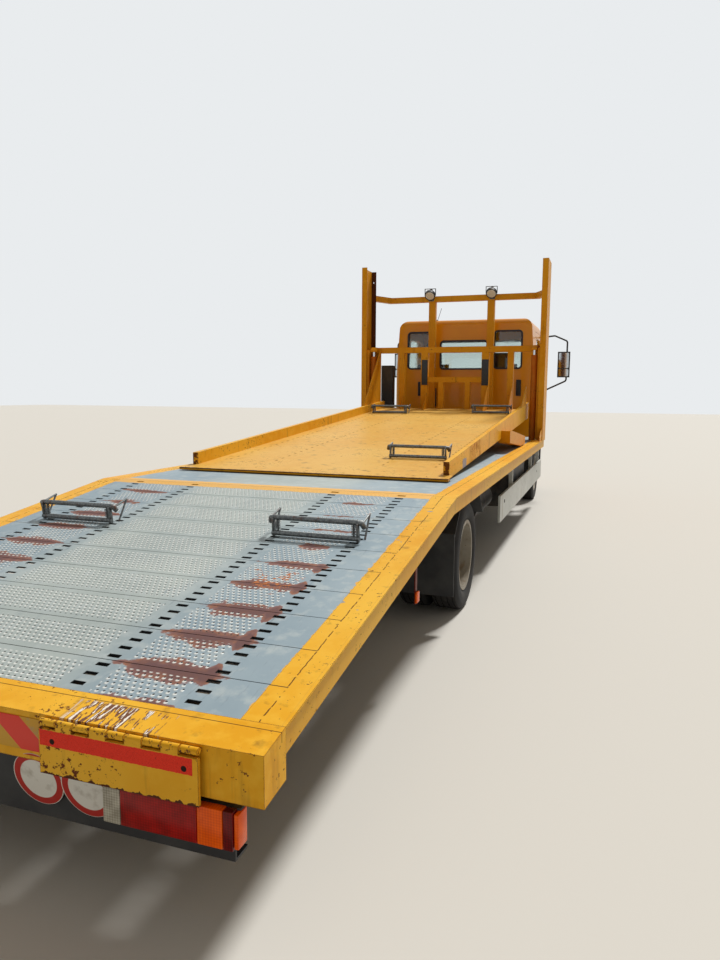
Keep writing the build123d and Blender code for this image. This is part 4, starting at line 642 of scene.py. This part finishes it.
def add_piece(name, work, material, body, slot, *replaced, mirrored=False):
    """Turns a mesh under work into a piece that rides on a body, and frees the mesh."""
    if mirrored:
        whole = list(work.verts) + list(work.edges) + list(work.faces)
        bmesh.ops.mirror(work, geom=whole, axis="X", merge_dist=-1)
    bmesh.ops.recalc_face_normals(work, faces=work.faces)
    for face in work.faces:
        face.smooth = True
    mesh = bpy.data.meshes.new(name)
    work.to_mesh(mesh)
    work.free()
    mesh.materials.append(material)
    made = bpy.data.objects.new(name, mesh)
    bpy.context.scene.collection.objects.link(made)
    made.modifiers.new("sharp_edges", "EDGE_SPLIT").split_angle = SHARP
    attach(made, body)
    if replaced:
        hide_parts(*replaced)
    return made


def tyre_outline():
    """Half a tyre's cross-section from bead to tread, as (across, radius), then mirrored."""
    half = [
        (0.085, 0.2485), (0.085, 0.267), (0.098, 0.282), (0.1045, 0.302), (TYRE_HALF, 0.320),
        (TYRE_HALF, 0.333), (0.1035, 0.353), (0.1035, 0.357), (0.1005, 0.371), (0.0925, 0.387),
        (0.086, 0.3935), (0.0835, 0.397),
    ]
    for groove in (0.062, 0.022):
        half += [
            (groove + 0.0045, TYRE_RADIUS - 0.0010), (groove + 0.0035, TYRE_RADIUS - TREAD_DEPTH),
            (groove - 0.0035, TYRE_RADIUS - TREAD_DEPTH), (groove - 0.0045, TYRE_RADIUS - 0.0006),
        ]
    return half + [(-x, r) for x, r in reversed(half)]


def tyre(name, centre_x, y, body, replaced):
    """Spins a tyre's outline round the wheel's axle."""
    work = bmesh.new()
    ring = [work.verts.new((centre_x + x, y, TYRE_RADIUS + r)) for x, r in tyre_outline()]
    lines = [work.edges.new(pair) for pair in zip(ring, ring[1:] + ring[:1])]
    bmesh.ops.spin(
        work, geom=ring + lines, cent=(centre_x, y, TYRE_RADIUS), axis=(1, 0, 0), angle=math.tau,
        steps=72, use_merge=True,
    )
    bmesh.ops.remove_doubles(work, verts=work.verts, dist=0.00001)
    add_piece(name, work, rubber, body, "tyre_rubber", replaced)


for side, sign in (("right", 1), ("left", -1)):
    front = (f"front_wheel_{side}", f"front_tyre_{side}")
    rear = (f"rear_wheels_{side}", f"rear_tyres_{side}")
    tyre(f"front_road_tyre_{side}", sign * FRONT_WHEEL_X, FRONT_AXLE_Y, *front)
    for number, wheel_x in enumerate(REAR_WHEELS_X, 1):
        tyre(f"rear_road_tyre_{side}_{number}", sign * wheel_x, REAR_AXLE_Y, *rear)

# Rims: pressed steel discs, bolted to the hubs. They are sprayed in silver enamel, which brake dust and
# clay have dulled.
rim_paint = worn_enamel("silver_enamel_on_rims", "#b0aca2", "#8f887b", "#5d4a3a", 0.3, 0.2, 0.9)[0]
finish_with(rim_paint, "front_rim_left", "front_rim_right", "rear_rims_left", "rear_rims_right")

# Rear lamps: a black housing on the bumper with moulded acrylic lenses clipped to it, white, red, amber
# and dark red from the inside out, and an amber side marker on its outer end.
HOUSING_Y = between(0.012, 0.045)
LENS_Y = between(-0.015, 0.014)
LAMP_Z = (0.324, 0.440)
MARKER_Y = between(-0.011, 0.041)


def cube(work, shape, edge):
    """Adds a cube of one metre, moved and sized by a matrix, with rounded edges."""
    made = bmesh.ops.create_cube(work, size=1, matrix=shape)
    lines = list(dict.fromkeys(line for vert in made["verts"] for line in vert.link_edges))
    bmesh.ops.bevel(
        work, geom=lines, offset=edge, segments=2, profile=0.5, affect="EDGES", material=-1
    )


def block(work, x, y, z, edge=0.002):
    """Adds a block between limits, with rounded edges."""
    size = (x[1] - x[0], y[1] - y[0], z[1] - z[0], 1)
    centre = Vector((x[0] + x[1], y[0] + y[1], z[0] + z[1])) / 2
    cube(work, Matrix.Translation(centre) @ Matrix.Diagonal(size), edge)


def acrylic(name, clear, deep):
    """Coloured acrylic over a grid of moulded prisms."""
    made, tree, shader, place = blank(name)
    _, _, z, out = axes(tree, place)
    ribs = node(tree, "Math.PINGPONG", z, 0.004)
    bars = node(tree, "Math.PINGPONG", out, 0.0045)
    prisms = node(tree, "Math.ADD", ribs, bars)
    film = node(tree, "Math.MULTIPLY", grain(tree, place, 20, 4), 1.2)
    patchy = node(tree, "Math.MULTIPLY_ADD", prisms, 60, film)
    surface(tree, shader, tone(tree, patchy, 0.6, 1.25, deep, clear), 0.22, prisms, 0.2, 0.001)
    shader.inputs["Specular IOR Level"].default_value = 0.2
    return made


work = bmesh.new()
block(work, (0.752, 1.196), HOUSING_Y, LAMP_Z, 0.004)
add_piece("rear_lamp_housings", work, plastic, "root", "black_plastic", "rear_lamps", mirrored=True)
# columns: name, inner end, outer end, bright and deep colour
lenses = (
    ("white", 0.750, 0.810, "#c9c6b8", "#8d897c"),
    ("red", 0.8115, 1.068, "#b3150e", "#7a0d08"),
    ("amber", 1.0695, 1.151, "#ff6c00", "#dc5000"),
    ("dark_red", 1.1525, 1.184, "#85100e", "#4f0a0a"),
)
for name, inner, outer, clear, deep in lenses:
    work = bmesh.new()
    block(work, (inner, outer), LENS_Y, LAMP_Z, 0.003)
    tinted = acrylic(f"{name}_acrylic", clear, deep)
    add_piece(f"rear_lens_{name}", work, tinted, "root", "lamp_plastic", mirrored=True)
amber = bpy.data.materials["amber_acrylic"]
work = bmesh.new()
block(work, (1.1855, 1.200), MARKER_Y, (0.330, 0.434), 0.003)
block(work, (1.1655, 1.1785), between(2.002, 2.058), (0.465, 0.525), 0.005)
add_piece("side_markers", work, amber, "root", "lamp_plastic", mirrored=True)

# Side marker brackets: flat steel strip hung from the side rail, red with rust. Each carries the amber
# marker behind the rear wheels.
rusty_red = worn_enamel("rusty_red_strip", "#5d1c14", "#6c2a1c", "#4a2a1c", 0.5, 0.5, 0.6)[0]
work = bmesh.new()
block(work, (1.159, 1.165), between(2.01, 2.05), (0.455, 0.802), 0.001)
add_piece("side_marker_brackets", work, rusty_red, "root", "yellow_paint", mirrored=True)

# Speed discs: two a side, each a vinyl-faced aluminium sheet of 2 mm with a red ring and a blank middle.
# They lean out a little at the top and stand off the bumper on two spacers.
DISC_RADIUS = 0.095
RING = (DISC_RADIUS - 0.026, DISC_RADIUS - 0.003)
DISC_LEAN = math.radians(12)
DISC_Y = 0.019
DISCS = ((0.481, 0.388, 0.0), (0.668, 0.386, 0.003))
SPACER_Y = forward_of_sill(0.038)
FACING_BACK = Matrix.Rotation(math.pi / 2, 4, "X")


def cone(work, shape, radius, depth, segments, end_radius=None):
    """Adds a disc, bar or cone along the upward axis of a matrix."""
    bmesh.ops.create_cone(
        work, cap_ends=True, segments=segments, radius1=radius, radius2=end_radius or radius, depth=depth,
        matrix=shape,
    )


def vinyl(name, base):
    """Sheet faced with vinyl in a base colour, under a film of dirt."""
    made, tree, shader, place = blank(name)
    surface(tree, shader, tone(tree, grain(tree, place, 18, 4), 0.55, 0.85, base, "#8f8878"), 0.35)
    return made, tree, shader, place


disc_vinyl, tree, shader, place = vinyl("speed_disc_vinyl", "#dcdcd6")
_, _, z, out = axes(tree, place)
rings = [within(tree, away_from(tree, out, z, disc[:2]), *RING, 0.0006) for disc in DISCS]
over(tree, shader, node(tree, "Math.MAXIMUM", *rings), "#b01c14")
work = bmesh.new()
for disc_x, disc_z, ahead in DISCS:
    centre = Matrix.Translation((disc_x, forward_of_sill(DISC_Y - ahead), disc_z))
    lean = centre @ Matrix.Rotation(math.pi / 2 + DISC_LEAN, 4, "X")
    cone(work, lean, DISC_RADIUS, 0.002, 64)
    for aside in (-0.04, 0.04):
        spacer = Matrix.Translation((disc_x + aside, SPACER_Y, disc_z - 0.06)) @ FACING_BACK
        cone(work, spacer, 0.006, 0.016, 12)
add_piece("speed_discs", work, disc_vinyl, "root", "panel_paint", mirrored=True)

# Number plates: a blank white one on each bumper, front and rear. They are aluminium sheet faced with
# vinyl, and screwed on.
PLATE_X = (-0.26, 0.26)
plate_vinyl = vinyl("blank_plate_vinyl", "#d8d8d0")[0]
work = bmesh.new()
block(work, PLATE_X, between(0.041, 0.0455), (0.285, 0.395), 0.001)
block(work, PLATE_X, between(10.746, 10.7515), (0.50, 0.61), 0.001)
add_piece("number_plates", work, plate_vinyl, "root", "panel_paint")

# Marker board: aluminium sheet faced with yellow and red striped vinyl, screwed to the sill between the
# flaps. The stripes are mirrored about its middle.
STRIPE_LEAN = 1.15
STRIPE_START = 1.063
STRIPE_PITCH = 0.14
STRIPE_HALF = 0.06
board_vinyl, tree, shader, place = vinyl("striped_board_vinyl", "#c99712")
_, _, z, out = axes(tree, place)
slant = node(tree, "Math.ADD", out, node(tree, "Math.MULTIPLY", z, STRIPE_LEAN))
stripe = node(tree, "Math.PINGPONG", node(tree, "Math.SUBTRACT", slant, STRIPE_START), STRIPE_PITCH)
over(tree, shader, node(tree, "Math.LESS_THAN", stripe, STRIPE_HALF), "#dd3018")
work = bmesh.new()
block(work, (-0.525, 0.525), between(-0.003, 0.0), (0.490, 0.596), 0.0008)
add_piece("marker_board", work, board_vinyl, "root", "panel_paint")

# Rubber: window seals, pads on the headboard and the cab's rear vents, all black extruded or moulded
# rubber with a dusty bloom.
WALL_Y = forward_of_sill(9.112)
PAD_Y = between(8.318, 8.331)
SEAL_LAP = 0.016
SEAL_WIDE = 0.024
SLATS = 7
# columns: left and right end, low and high end
WINDOWS = ((-0.345, 0.345, 1.965, 2.370), (0.460, 0.850, 1.970, 2.505), (-0.850, -0.460, 1.970, 2.505))
PADS = ((-0.436, -0.352, 1.711, 2.062), (0.413, 0.505, 1.707, 2.061))
VENTS = ((-0.690, -0.615, 1.555, 1.768), (-0.500, -0.400, 1.390, 1.675), (0.790, 0.860, 1.565, 1.800))
seal_rubber, tree, shader, place = blank("black_seal_rubber")
surface(tree, shader, tone(tree, grain(tree, place, 30, 4), 0.4, 0.8, "#0e0e0f", "#242423"), 0.6)


def rounded_sheet(work, x, z, y, radius):
    """The faces of a flat sheet with rounded corners, standing across the truck."""
    centre = Matrix.Translation(((x[0] + x[1]) / 2, y, (z[0] + z[1]) / 2))
    shape = centre @ FACING_BACK @ Matrix.Diagonal((x[1] - x[0], z[1] - z[0], 1, 1))
    made = bmesh.ops.create_grid(work, x_segments=1, y_segments=1, size=0.5, matrix=shape)
    grown = bmesh.ops.bevel(
        work, geom=made["verts"], offset=radius, offset_type="OFFSET", segments=6, profile=0.5,
        affect="VERTICES", material=-1,
    )
    return list(dict.fromkeys(face for vert in grown["verts"] for face in vert.link_faces))


def thicken(work, faces, depth):
    """Pulls flat faces forward into a solid."""
    pulled = bmesh.ops.extrude_face_region(work, geom=faces, use_keep_orig=True)
    moved = [item for item in pulled["geom"] if isinstance(item, bmesh.types.BMVert)]
    bmesh.ops.translate(work, verts=moved, vec=(0, depth, 0))


work = bmesh.new()
for left, right, low, high in WINDOWS:
    wide, tall = (left - SEAL_LAP, right + SEAL_LAP), (low - SEAL_LAP, high + SEAL_LAP)
    faces = rounded_sheet(work, wide, tall, WALL_Y - 0.009, 0.06)
    seal = bmesh.ops.inset_individual(work, faces=faces, thickness=SEAL_WIDE)["faces"]
    bmesh.ops.delete(work, geom=faces, context="FACES_ONLY")
    thicken(work, seal, 0.034)
add_piece("rear_window_seals", work, seal_rubber, "cab", "black_plastic")
work = bmesh.new()
for left, right, low, high in PADS:
    block(work, (left, right), PAD_Y, (low, high), 0.003)
add_piece("headboard_pads", work, seal_rubber, "deck", "black_plastic")
work = bmesh.new()
for left, right, low, high in VENTS:
    block(work, (left, right), (WALL_Y - 0.022, WALL_Y), (low, high), 0.008)
    for index in range(SLATS):
        z = low + 0.02 + index * (high - low - 0.04) / (SLATS - 1)
        slat = (left + 0.008, right - 0.008)
        block(work, slat, (WALL_Y - 0.027, WALL_Y - 0.021), (z - 0.004, z + 0.004), 0.001)
add_piece("cab_vents", work, seal_rubber, "cab", "black_plastic")

# Mirror glasses: silvered glass set in the rear face of each head, a wide one above a small one. Each is
# 3 mm thick and glued in.
MIRROR_X = (1.290, 1.444)
MIRROR_Y = forward_of_sill(10.440)
MIRRORS_Z = ((2.012, 2.255), (1.882, 1.998))
mirror_glass, tree, shader, place = blank("silvered_glass")
surface(tree, shader, tone(tree, grain(tree, place, 12, 4), 0.4, 0.8, "#c4c8ca", "#aab0b2"), 0.06)
shader.inputs["Metallic"].default_value = 1.0
work = bmesh.new()
for tall in MIRRORS_Z:
    thicken(work, rounded_sheet(work, MIRROR_X, tall, MIRROR_Y - 0.002, 0.02), 0.003)
add_piece("mirror_glasses", work, mirror_glass, "cab", "window_glass", mirrored=True)

# Wheel stops: two steel tubes between flat end bars, with a coil spring round each end bar's pin and thin
# rods that hook into the floor behind. Galvanised, dulled and a little rusty at the welds.
STOP_HALF = 0.260
STOP_HIGH = 0.098
TUBE_RADIUS = 0.0135
ROD_RADIUS = 0.0055
COIL_TURNS = 6
COIL_HIGH = 0.052
COIL_STEPS = COIL_TURNS * 14
DECK_RISE = 0.0735
galvanised, tree, shader, place = blank("dull_galvanised_tube")
# zinc spangles of 11 mm
spangle = node(tree, "TexVoronoi", place, Scale=90.0)
coat = tone(tree, spangle, 0.1, 0.8, "#7b7f7f", "#54585a")
coat = tone(tree, grain(tree, place, 25, 5, rough=0.65), 0.55, 0.68, coat, "#5c4034")
surface(tree, shader, coat, 0.45)
shader.inputs["Metallic"].default_value = 0.6


def bar(work, start, end, radius, segments=16):
    """Adds a round bar from one point to another."""
    run = Vector(end) - Vector(start)
    centre = Matrix.Translation((Vector(start) + Vector(end)) / 2)
    along = centre @ run.to_track_quat("Z", "Y").to_matrix().to_4x4()
    cone(work, along, radius, run.length, segments)


def tube(work, points, radius, segments=16):
    """Adds a chain of round bars with rounded joints."""
    for start, end in zip(points, points[1:]):
        bar(work, start, end, radius, segments)
    for point in points[1:-1]:
        joint = Matrix.Translation(point)
        bmesh.ops.create_uvsphere(
            work, u_segments=segments, v_segments=segments // 2, radius=radius, matrix=joint
        )


def wheel_stop(work):
    """Adds a wheel stop, as it stands on a level floor with the middle of its rear foot at the origin."""
    bar(work, (-STOP_HALF + 0.02, 0.016, 0.018), (STOP_HALF - 0.02, 0.016, 0.018), TUBE_RADIUS)
    bend = ((0.002, 0.046, STOP_HIGH - 0.030), (0.012, 0.032, STOP_HIGH - 0.004), (0.030, 0.030, STOP_HIGH))
    left = [(-STOP_HALF + inward, y, z) for inward, y, z in bend]
    right = [(STOP_HALF - inward, y, z) for inward, y, z in reversed(bend)]
    tube(work, left + right, TUBE_RADIUS)
    for side in (-1, 1):
        end_bar = sorted((side * (STOP_HALF - 0.034), side * (STOP_HALF - 0.024)))
        block(work, end_bar, (0.006, 0.034), (0.002, STOP_HIGH), 0.001)
        pin_x = side * (STOP_HALF - 0.052)
        bar(work, (pin_x, 0.022, 0.020), (pin_x, 0.028, STOP_HIGH), 0.005, 10)
        wire = Matrix.Translation((pin_x + 0.011, 0.024, 0.032)) @ FACING_BACK
        coil = bmesh.ops.create_circle(work, segments=8, radius=0.0022, matrix=wire)["verts"]
        lines = list(dict.fromkeys(line for vert in coil for line in vert.link_edges))
        bmesh.ops.spin(
            work, geom=coil + lines, cent=(pin_x, 0.024, 0.032), axis=(0, 0, 1),
            dvec=(0, 0, COIL_HIGH / COIL_STEPS), angle=math.tau * COIL_TURNS, steps=COIL_STEPS,
        )
        rod_x = side * (STOP_HALF - 0.008)
        rod = [(rod_x, 0.034, STOP_HIGH - 0.006), (rod_x, 0.152, STOP_HIGH + 0.010), (rod_x, 0.062, 0.003)]
        tube(work, rod, ROD_RADIUS, 10)


# columns: floor, body, its start along the truck, its height there, its rise, and the stops' places
floors = (
    ("bed", "root", 0.0, SILL_TOP, BED_RISE, ((-0.750, 1.640), (0.726, 1.650))),
    ("deck", "deck", 3.198, 1.002, DECK_RISE, ((0.645, 4.000), (-0.680, 7.570), (0.640, 7.750))),
)
for name, body, start, low, rise, places in floors:
    whole = bmesh.new()
    for stop_x, stop_y in places:
        work = bmesh.new()
        wheel_stop(work)
        foot = Matrix.Translation((stop_x, forward_of_sill(stop_y), low + (stop_y - start) * rise))
        tilt = Matrix.Rotation(math.atan(rise), 4, "X")
        bmesh.ops.transform(work, matrix=foot @ tilt, verts=work.verts)
        part = bpy.data.meshes.new("part")
        work.to_mesh(part)
        work.free()
        whole.from_mesh(part)
        bpy.data.meshes.remove(part)
    add_piece(f"{name}_stop_frames", whole, galvanised, body, "galvanised_steel", f"{name}_wheel_stops")

# Work lamps: a frosted glass lens in a dark rim, tipped down, and a galvanised steel strap bolted to the
# crossbar below.
LAMP_CENTRE = (0.445, forward_of_sill(8.785), 3.018)
LAMP_TIP = math.radians(40)
STRAP_Y = between(8.856, 8.862)
lens_glass, tree, shader, place = blank("ribbed_lens_glass")
ribs = node(tree, "TexWave", place, Scale=60.0)
surface(tree, shader, tone(tree, ribs, 0.2, 0.8, "#e2e0d4", "#c0bdb0"), 0.15)
shader.inputs["Coat Weight"].default_value = 0.8
work = bmesh.new()
tipped = Matrix.Translation(LAMP_CENTRE) @ Matrix.Rotation(LAMP_TIP, 4, "X")
face_out = tipped @ Matrix.Translation((0, -0.033, 0)) @ FACING_BACK
cone(work, face_out, 0.0655, 0.010, 48, 0.052)
add_piece("work_lamp_lenses", work, lens_glass, "root", "lamp_clear", mirrored=True)
work = bmesh.new()
block(work, (0.405, 0.485), STRAP_Y, (2.935, 2.995), 0.001)
for bolt_x in (0.418, 0.472):
    for bolt_z in (2.948, 2.982):
        bar(work, (bolt_x, STRAP_Y[0] - 0.006, bolt_z), (bolt_x, STRAP_Y[1], bolt_z), 0.008, 6)
add_piece("work_lamp_straps", work, galvanised, "root", "galvanised_steel", mirrored=True)

# Wheel nuts: eight hexagon nuts with washers on each disc, turned from steel, and the hubs' pressed caps,
# all covered in dust.
NUTS = 8
NUT_CIRCLE = 0.1375
nut_steel = worn_enamel("dusty_nut_steel", "#8f8c84", "#777166", "#5a4433", 0.5, 0.6, 0.9)[0]
# columns: name, body, axle's place, nut's inner and outer end, cap's inner and outer end and radius
hubs = (
    ("front", "front_wheel", FRONT_AXLE_Y, (1.046, 1.068), (1.084, 1.094), 0.058),
    ("rear", "rear_wheels", REAR_AXLE_Y, (0.942, 0.964), (1.055, 1.064), 0.070),
)
for name, body, axle_y, (seat, end), cap, cap_radius in hubs:
    for side, sign in (("right", 1), ("left", -1)):
        work = bmesh.new()
        for index in range(NUTS):
            angle = math.tau * (index + 0.5) / NUTS
            at = (axle_y + NUT_CIRCLE * math.cos(angle), TYRE_RADIUS + NUT_CIRCLE * math.sin(angle))
            bar(work, (sign * seat, *at), (sign * (seat + 0.004), *at), 0.019, 16)
            bar(work, (sign * seat, *at), (sign * end, *at), 0.0155, 6)
            bar(work, (sign * end, *at), (sign * (end + 0.007), *at), 0.0095, 10)
        hub = (axle_y, TYRE_RADIUS)
        bar(work, (sign * cap[0], *hub), (sign * cap[1], *hub), cap_radius, 40)
        add_piece(f"{name}_hub_{side}", work, nut_steel, f"{body}_{side}", "rim_paint")

# Roof aerial: a thin steel rod coated in black plastic. It leans from the moulded foot by which it is
# screwed to the cab roof.
work = bmesh.new()
bar(work, (-0.440, forward_of_sill(9.250), 2.685), (-0.390, forward_of_sill(9.300), 2.880), 0.0035, 8)
aerial_foot = Matrix.Translation((-0.441, forward_of_sill(9.249), 2.692))
cone(work, aerial_foot, 0.026, 0.022, 20, 0.012)
add_piece("roof_aerial", work, plastic, "cab", "black_plastic")

# Door handles: a black moulded grip on a flat back plate, screwed to each door below its window. They
# turn with the doors.
GRIP_Z = 1.573
PLATE_Y = between(9.575, 9.715)
GRIP = ((1.050, 9.590), (1.068, 9.600), (1.068, 9.690), (1.050, 9.700))
handle = bmesh.new()
block(handle, (1.049, 1.054), PLATE_Y, (1.545, 1.600), 0.002)
tube(handle, [(x, forward_of_sill(y), GRIP_Z) for x, y in GRIP], 0.008)
for side, sign in (("right", 1), ("left", -1)):
    work = handle.copy()
    bmesh.ops.scale(work, vec=(sign, 1, 1), verts=work.verts)
    add_piece(f"door_handle_{side}", work, plastic, f"door_{side}", "black_plastic")
handle.free()

# Wipers: two black arms of pressed steel on pivots below the windscreen, each holding a rubber blade flat
# along the glass.
PIVOTS_X = (-0.150, 0.640)
# columns: the two ends' place to the side of the pivot, along the truck and up, then radius and segments
WIPER_BARS = (
    ((0.0, 10.700, 1.672), (0.0, 10.729, 1.682), 0.014, 20),
    ((-0.600, 10.686, 1.800), (-0.060, 10.690, 1.772), 0.006, 8),
    ((-0.610, 10.6785, 1.799), (-0.050, 10.6825, 1.771), 0.004, 6),
)
WIPER_ARM = ((0.0, 10.722, 1.680), (-0.060, 10.716, 1.706), (-0.330, 10.692, 1.786))
work = bmesh.new()
for pivot_x in PIVOTS_X:
    for *ends, radius, segments in WIPER_BARS:
        bar(work, *((pivot_x + x, forward_of_sill(y), z) for x, y, z in ends), radius, segments)
    tube(work, [(pivot_x + x, forward_of_sill(y), z) for x, y, z in WIPER_ARM], 0.0065, 12)
add_piece("wipers", work, plastic, "cab", "black_plastic")

# Indicators: amber acrylic lenses, moulded and let into the bumper's bevelled corners. They face forward
# and outward at once.
INDICATOR_SIZE = (0.075, 0.014, 0.095)
corner = Matrix.Translation((0.993, forward_of_sill(10.640), 0.630)) @ Matrix.Rotation(-math.pi / 4, 4, "Z")
work = bmesh.new()
cube(work, corner @ Matrix.Diagonal((*INDICATOR_SIZE, 1)), 0.004)
add_piece("indicators", work, amber, "root", "lamp_plastic", mirrored=True)

# Headlamp reflectors: two bowls a side behind the glass of each headlamp, pressed from sheet and coated
# with aluminium.
BOWL_Z = 0.630
BOWLS = ((0.705, 10.655), (0.845, 10.640))
# columns: radius, and depth behind the rim
BOWL_OUTLINE = ((0.056, 0.0), (0.046, 0.018), (0.028, 0.034), (0.010, 0.041))
bowl_metal, tree, shader, place = blank("aluminised_bowl")
flutes = node(tree, "TexWave", place, Scale=40.0)
surface(tree, shader, tone(tree, flutes, 0.2, 0.8, "#d9dadb", "#b5b8ba"), 0.15)
shader.inputs["Metallic"].default_value = 1.0
work = bmesh.new()
for bowl_x, bowl_y in BOWLS:
    slope = [work.verts.new((bowl_x + r, forward_of_sill(bowl_y - back), BOWL_Z)) for r, back in BOWL_OUTLINE]
    lines = [work.edges.new(pair) for pair in zip(slope, slope[1:])]
    bmesh.ops.spin(
        work, geom=slope + lines, cent=(bowl_x, forward_of_sill(bowl_y), BOWL_Z), axis=(0, 1, 0),
        angle=math.tau, steps=40, use_merge=True,
    )
bowls = add_piece("headlamp_bowls", work, bowl_metal, "root", "lamp_clear", mirrored=True)
bowls.modifiers.new("pressed_wall", "SOLIDIFY").thickness = 0.0012
